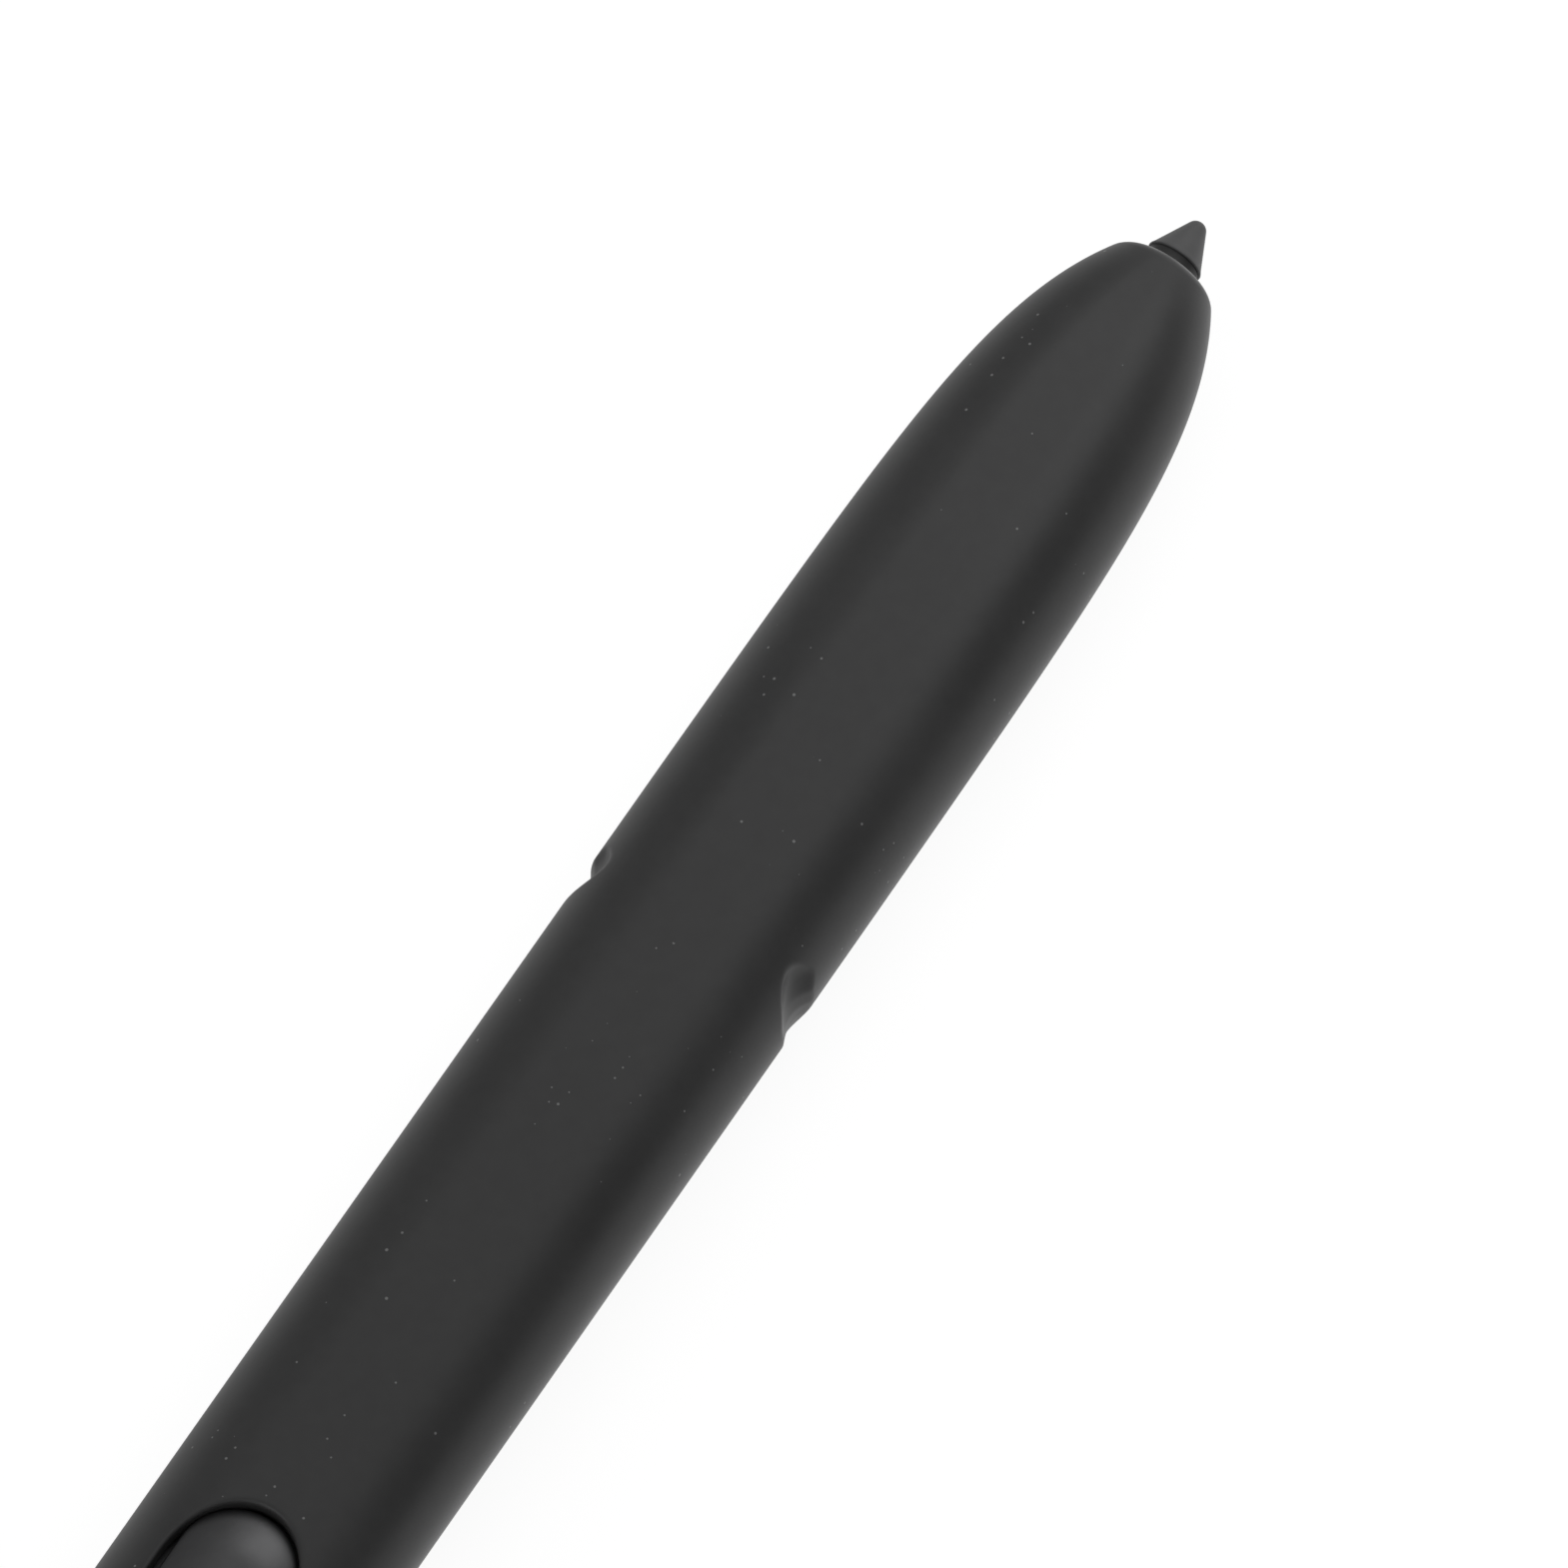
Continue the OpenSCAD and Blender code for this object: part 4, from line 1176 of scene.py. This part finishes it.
def amber_film():
    """Flexible film whose buried traces run along X and show through as paler stripes."""
    material, tree, shader = start_material("amber_film", 0.28)
    waves = texture(tree, "ShaderNodeTexWave", FILM_WAVES, wave_type="BANDS", bands_direction="Y")
    cloud = texture(tree, "ShaderNodeTexNoise", FILM_CLOUDS, Detail=2.0)
    stripes = map_range(tree, waves.outputs["Fac"], STRIPE_FROM, STRIPE_TO)
    film = mix_colour(tree, cloud.outputs["Fac"], FILM_DARK, FILM_LIGHT)
    tree.links.new(mix_colour(tree, stripes, film, FILM_TRACE), shader.inputs["Base Color"])
    bump(tree, stripes, 0.4, 0.00001, shader)
    return material


def green_board():
    """Solder mask over copper: long traces, the joints of a net of bricks, broken where a noise is low.
    Gold vias are the middles of Voronoi cells, and the edges show the pale laminate."""
    material, tree, shader = start_material("green_board", 0.3)
    net = texture(tree, "ShaderNodeTexBrick", NET_SCALE, **BOARD_NET)
    breaks = texture(tree, "ShaderNodeTexNoise", NET_BREAKS, Detail=1.0)
    whole = math_node(tree, "GREATER_THAN", breaks.outputs["Fac"], BROKEN_BELOW)
    traces = math_node(tree, "MULTIPLY", net.outputs["Fac"], whole)
    cells = texture(tree, "ShaderNodeTexVoronoi", VIA_CELLS)
    vias = math_node(tree, "LESS_THAN", cells.outputs["Distance"], VIA_R)
    top = mix_colour(tree, traces, MASK_GREEN, TRACE_GREEN)
    top = mix_colour(tree, vias, top, VIA_GOLD)
    facing_up = math_node(tree, "ABSOLUTE", place_part(tree, "Normal", "Z"))
    flat = math_node(tree, "GREATER_THAN", facing_up, 0.5)
    tree.links.new(mix_colour(tree, flat, LAMINATE, top), shader.inputs["Base Color"])
    bump(tree, traces, 0.5, 0.00001, shader)
    return material


def speckled(name, colour, pit_shade, roughness, scale, depth=0.000004):
    """A sintered or foamed body: cells of a Voronoi pattern that pit the surface, with painted shade in the
    pits.
    """
    material, tree, shader = start_material(name, roughness)
    cells = texture(tree, "ShaderNodeTexVoronoi", scale, feature="F1")
    base = mix_colour(tree, cells.outputs["Distance"], pit_shade, colour)
    tree.links.new(base, shader.inputs["Base Color"])
    bump(tree, cells.outputs["Distance"], 0.6, depth, shader)
    return material


# %% [markdown]
# ## Finishes inside
# The pieces inside are plain machined and moulded shapes, which could be modelled again with every edge
# rounded. Nobody sees them until the barrel is off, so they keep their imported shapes. The finish tells
# what each is made of, and the record's slot of each node picks it.

# %% Finishes by slot
CHIP_GRAIN = {"grains": 16000.0, "depth": 0.000006}
SLOT_FINISHES = {
    "seal_rubber": grained_plastic("seal_rubber", (0.016, 0.016, 0.016), 0.7, 0.25, grains=7000.0),
    "slip_plastic": grained_plastic("slip_plastic", (0.72, 0.71, 0.67), 0.32, 0.5),
    "case_plastic": grained_plastic("case_plastic", (0.7, 0.7, 0.68), 0.45, 0.5),
    # In a speckled finish the second colour is painted shade in the pits.
    "chassis_plastic": speckled("glass_filled", (0.1, 0.105, 0.11), (0.07, 0.075, 0.08), 0.5, 9000.0),
    "chip_epoxy": grained_plastic("chip_epoxy", (0.02, 0.02, 0.022), 0.55, 0.5, **CHIP_GRAIN),
    "ferrite": speckled("sintered_ferrite", (0.05, 0.048, 0.045), (0.028, 0.026, 0.024), 0.42, 16000.0),
    "ceramic": speckled("pale_ceramic", (0.8, 0.77, 0.68), (0.7, 0.66, 0.56), 0.35, 14000.0, 0.000002),
    "copper": wound_copper(),
    "polyimide": amber_film(),
    "board_laminate": green_board(),
    "plated_metal": lined_metal("plated_sheet", (0.62, 0.61, 0.58), 0.28, ALONG_X),
    "contact_metal": lined_metal("gold_flash", (0.72, 0.53, 0.24), 0.25, ALONG_X),
    "spring_steel": lined_metal("spring_steel", (0.58, 0.58, 0.6), 0.24, EVEN, lines=9000.0),
    "cell_can": lined_metal("drawn_can", (0.52, 0.53, 0.55), 0.3, ALONG_X),
    "foam": speckled("open_foam", (0.045, 0.045, 0.047), (0.012, 0.012, 0.012), 0.95, 5000.0, 0.00003),
}
for subpart in frame["record"]["subparts"]:
    part_object = frame["nodes"][subpart["node"]]
    if not part_object.hide_render:
        set_material(part_object, SLOT_FINISHES[subpart["material_slot"]])
        print(subpart["node"], "->", part_object.data.materials[0].name)

# %% [markdown]
# ## The table
# The pen lies on a plain white table that keeps its faint shadow. More light would make the table white,
# but would bleach the pen as well. So the table glows on its own for the eye and in reflections, and stays
# an ordinary pale surface for the light that it throws on the pen. The glow that the pen mirrors is
# painted dimmer on its left, as a painted shade in the reflection along the pen's left edge.

# %% Table
TABLE_SIZE = 12.0
TABLE_Z = -0.00002
WHITE, TABLE_WHITE, SHADOW_GREY = (1, 1, 1), (0.8, 0.8, 0.8), (0.16, 0.16, 0.16)
GLOW = 0.92
LEFT_FROM, LEFT_TO = -0.001, 0.004
LEFT_DIMMER = 0.35


def mix_shaders(tree, mask, low, high, output):
    """Mixes two shader nodes by a mask into the output."""
    mix = tree.nodes.new("ShaderNodeMixShader")
    out = tree.nodes.new(output)
    tree.links.new(mask, mix.inputs[0])
    tree.links.new(low.outputs[0], mix.inputs[1])
    tree.links.new(high.outputs[0], mix.inputs[2])
    tree.links.new(mix.outputs[0], out.inputs["Surface"])


def table_material():
    """A diffuse white for light, and a grey that shows shadows plus a glow: even for the eye, and in
    reflections painted dimmer on the left as shade.
    """
    material = bpy.data.materials.new("white_table")
    material.use_nodes = True
    tree = material.node_tree
    tree.nodes.clear()
    path = tree.nodes.new("ShaderNodeLightPath")
    seen = math_node(tree, "MAXIMUM", path.outputs["Is Camera Ray"], path.outputs["Is Glossy Ray"])
    seen = math_node(tree, "MAXIMUM", seen, path.outputs["Is Transmission Ray"])
    plain = tree.nodes.new("ShaderNodeBsdfDiffuse")
    feed(tree, plain.inputs["Color"], TABLE_WHITE)
    faint = tree.nodes.new("ShaderNodeBsdfDiffuse")
    feed(tree, faint.inputs["Color"], SHADOW_GREY)
    glow = tree.nodes.new("ShaderNodeEmission")
    feed(tree, glow.inputs["Color"], WHITE)
    # Painted shade: the glow seen in reflections is dimmer on the table's left.
    left_painted_shade = map_range(tree, place_part(tree, "Object", "Y"), LEFT_FROM, LEFT_TO, 0.0, LEFT_DIMMER)
    dimmer = math_node(tree, "MULTIPLY", left_painted_shade, path.outputs["Is Glossy Ray"])
    tree.links.new(math_node(tree, "SUBTRACT", GLOW, dimmer), glow.inputs["Strength"])
    both = tree.nodes.new("ShaderNodeAddShader")
    tree.links.new(faint.outputs[0], both.inputs[0])
    tree.links.new(glow.outputs[0], both.inputs[1])
    mix_shaders(tree, seen, plain, both, "ShaderNodeOutputMaterial")
    return material


def make_table():
    """A square just under the pen."""
    mesh = bpy.data.meshes.new("floor")
    h = TABLE_SIZE / 2
    mesh.from_pydata([(-h, -h, 0), (h, -h, 0), (h, h, 0), (-h, h, 0)], [], [(0, 1, 2, 3)])
    table = bpy.data.objects.new("floor", mesh)
    bpy.context.scene.collection.objects.link(table)
    table.location.z = TABLE_Z
    set_material(table, table_material())
    print("table %.0f m wide" % TABLE_SIZE)


make_table()

# %% [markdown]
# ## The light
# The pen is lit as in a small studio: a white tent of uneven brightness stands round it, and a soft box
# hangs above and ahead of the nib. Many lamps could build up the tent, but each would leave its edges in
# the plastic. A world that depends only on direction does it with two smooth curves. The one lamp lights
# the nose and gives the pen its soft shadow.

# %% Light
ACROSS = [(-90, 0.4), (-73, 0.3), (-52, 0.34), (-38, 0.5), (-26, 0.62), (-8, 0.46), (20, 0.44),
          (34, 0.36), (46, 0.18), (58, 0.08), (75, 0.06), (90, 0.5)]
ALONG = [(-1.0, 3.0), (-0.8, 2.6), (-0.5, 0.8), (-0.1, 0.8), (0.1, 1.0), (0.35, 1.0), (0.6, 0.8),
         (0.8, 0.9), (0.98, 3.0)]
TENT_TOP = 3.0
FRONT = [(0.45, 0.0), (0.8, 1.0)]
FRONT_LEVEL = 0.42
LAMP_LOW, LAMP_HIGH = (0.07, -0.062), (0.2, 0.042)
LAMP_Z = 0.1
LAMP_RADIANCE = 1.35


def level_curve(tree, place, stops, top):
    """A curve of brightness through stops of (place from 0 to 1, level), as shares of a top level."""
    ramp = tree.nodes.new("ShaderNodeValToRGB")
    ramp.color_ramp.interpolation = "EASE"
    elements = ramp.color_ramp.elements
    for k, (where, level) in enumerate(stops):
        stop = elements[k] if k < 2 else elements.new(1.0)
        stop.position = where
        stop.color = (level / top,) * 3 + (1,)
    tree.links.new(place, ramp.inputs["Fac"])
    return ramp.outputs["Color"]


def make_tent():
    """A white tent round the pen. Its brightness is a product of two curves: one by the angle across the
    pen, from the left horizon at -90 degrees over the roof to the right horizon at 90, and one by the
    direction along the pen, from -1 behind the tail to 1 in front of the nib. Well in front, the first
    gives way to one level."""
    world = bpy.data.worlds.new("tent")
    world.use_nodes = True
    tree = world.node_tree
    tree.nodes.clear()
    coords = tree.nodes.new("ShaderNodeTexCoord")
    split = tree.nodes.new("ShaderNodeSeparateXYZ")
    tree.links.new(coords.outputs["Generated"], split.inputs[0])
    right = math_node(tree, "MULTIPLY", split.outputs["Y"], -1.0)
    angle = math_node(tree, "ARCTAN2", right, split.outputs["Z"])
    place = math_node(tree, "MULTIPLY_ADD", angle, 1 / math.pi, 0.5)
    across = level_curve(tree, place, [(a / 180 + 0.5, level) for a, level in ACROSS], 1.0)
    ahead = math_node(tree, "MULTIPLY_ADD", split.outputs["X"], 0.5, 0.5)
    along = level_curve(tree, ahead, [(x / 2 + 0.5, level) for x, level in ALONG], TENT_TOP)
    front = level_curve(tree, ahead, [(x / 2 + 0.5, level) for x, level in FRONT], 1.0)
    light = tree.nodes.new("ShaderNodeBackground")
    feed(tree, light.inputs["Color"], mix_colour(tree, front, across, (FRONT_LEVEL,) * 3))
    feed(tree, light.inputs["Strength"], math_node(tree, "MULTIPLY", along, TENT_TOP))
    white = tree.nodes.new("ShaderNodeBackground")
    feed(tree, white.inputs["Color"], WHITE)
    path = tree.nodes.new("ShaderNodeLightPath")
    mix_shaders(tree, path.outputs["Is Camera Ray"], light, white, "ShaderNodeOutputWorld")
    bpy.context.scene.world = world


def soft_box(name, low, high, height, radiance):
    """A flat lamp facing down over a rectangle. Its power is radiance times pi times its area."""
    data = bpy.data.lights.new(name, "AREA")
    data.shape = "RECTANGLE"
    data.size = high[0] - low[0]
    data.size_y = high[1] - low[1]
    data.energy = radiance * math.pi * data.size * data.size_y
    lamp = bpy.data.objects.new(name, data)
    lamp.location = ((low[0] + high[0]) / 2, (low[1] + high[1]) / 2, height)
    lamp.visible_camera = False
    bpy.context.scene.collection.objects.link(lamp)
    print("%s: %.4f W" % (name, data.energy))


make_tent()
soft_box("overhead", LAMP_LOW, LAMP_HIGH, LAMP_Z, LAMP_RADIANCE)
bpy.context.scene.view_settings.view_transform = "Standard"

# %% [markdown]
# ## The camera
# The camera looks down on the front third of the pen from behind its tail, through a long lens that
# hardly tapers it. It could be aimed with a constraint, but two small tilts describe it better: how far
# the nib leans away from the eye, and how far the pen's top is turned from it.

# %% Camera
LEAN_AWAY = math.radians(20.5)
TURN = math.radians(12.3)
PICTURE_ANGLE = math.radians(54.905)
# The aim is a place on the pen, in millimetres. The lengths after it are in metres.
AIM_U = 16.595
AIM_ASIDE = 0.421
DISTANCE = 0.64
PICTURE_W = 0.03457
CLIP_START, CLIP_END = 0.05, 20


def make_camera():
    """Axes of the picture: along is the pen's own direction in it, aside is square to that, and the
    third points back at the eye. The picture's right and up are those two turned by the picture angle."""
    sin_lean, cos_lean = math.sin(LEAN_AWAY), math.cos(LEAN_AWAY)
    sin_turn, cos_turn = math.sin(TURN), math.cos(TURN)
    along = Vector((cos_lean, -sin_lean * sin_turn, sin_lean * cos_turn))
    aside = Vector((0, -cos_turn, -sin_turn))
    back = Vector((-sin_lean, -sin_turn * cos_lean, cos_turn * cos_lean))
    right = along * math.cos(PICTURE_ANGLE) + aside * math.sin(PICTURE_ANGLE)
    up = along * math.sin(PICTURE_ANGLE) - aside * math.cos(PICTURE_ANGLE)
    aim = Vector((TIP_X - AIM_U, 0, AXIS_Z)) * MM - aside * AIM_ASIDE * MM
    data = bpy.data.cameras.new("camera")
    data.lens = data.sensor_width * DISTANCE / PICTURE_W
    data.clip_start = CLIP_START
    data.clip_end = CLIP_END
    camera = bpy.data.objects.new("camera", data)
    turned_to = Matrix((right, up, back)).transposed().to_4x4()
    camera.matrix_world = Matrix.Translation(aim + back * DISTANCE) @ turned_to
    bpy.context.scene.collection.objects.link(camera)
    bpy.context.scene.camera = camera
    print("lens %.0f mm" % data.lens)


make_camera()
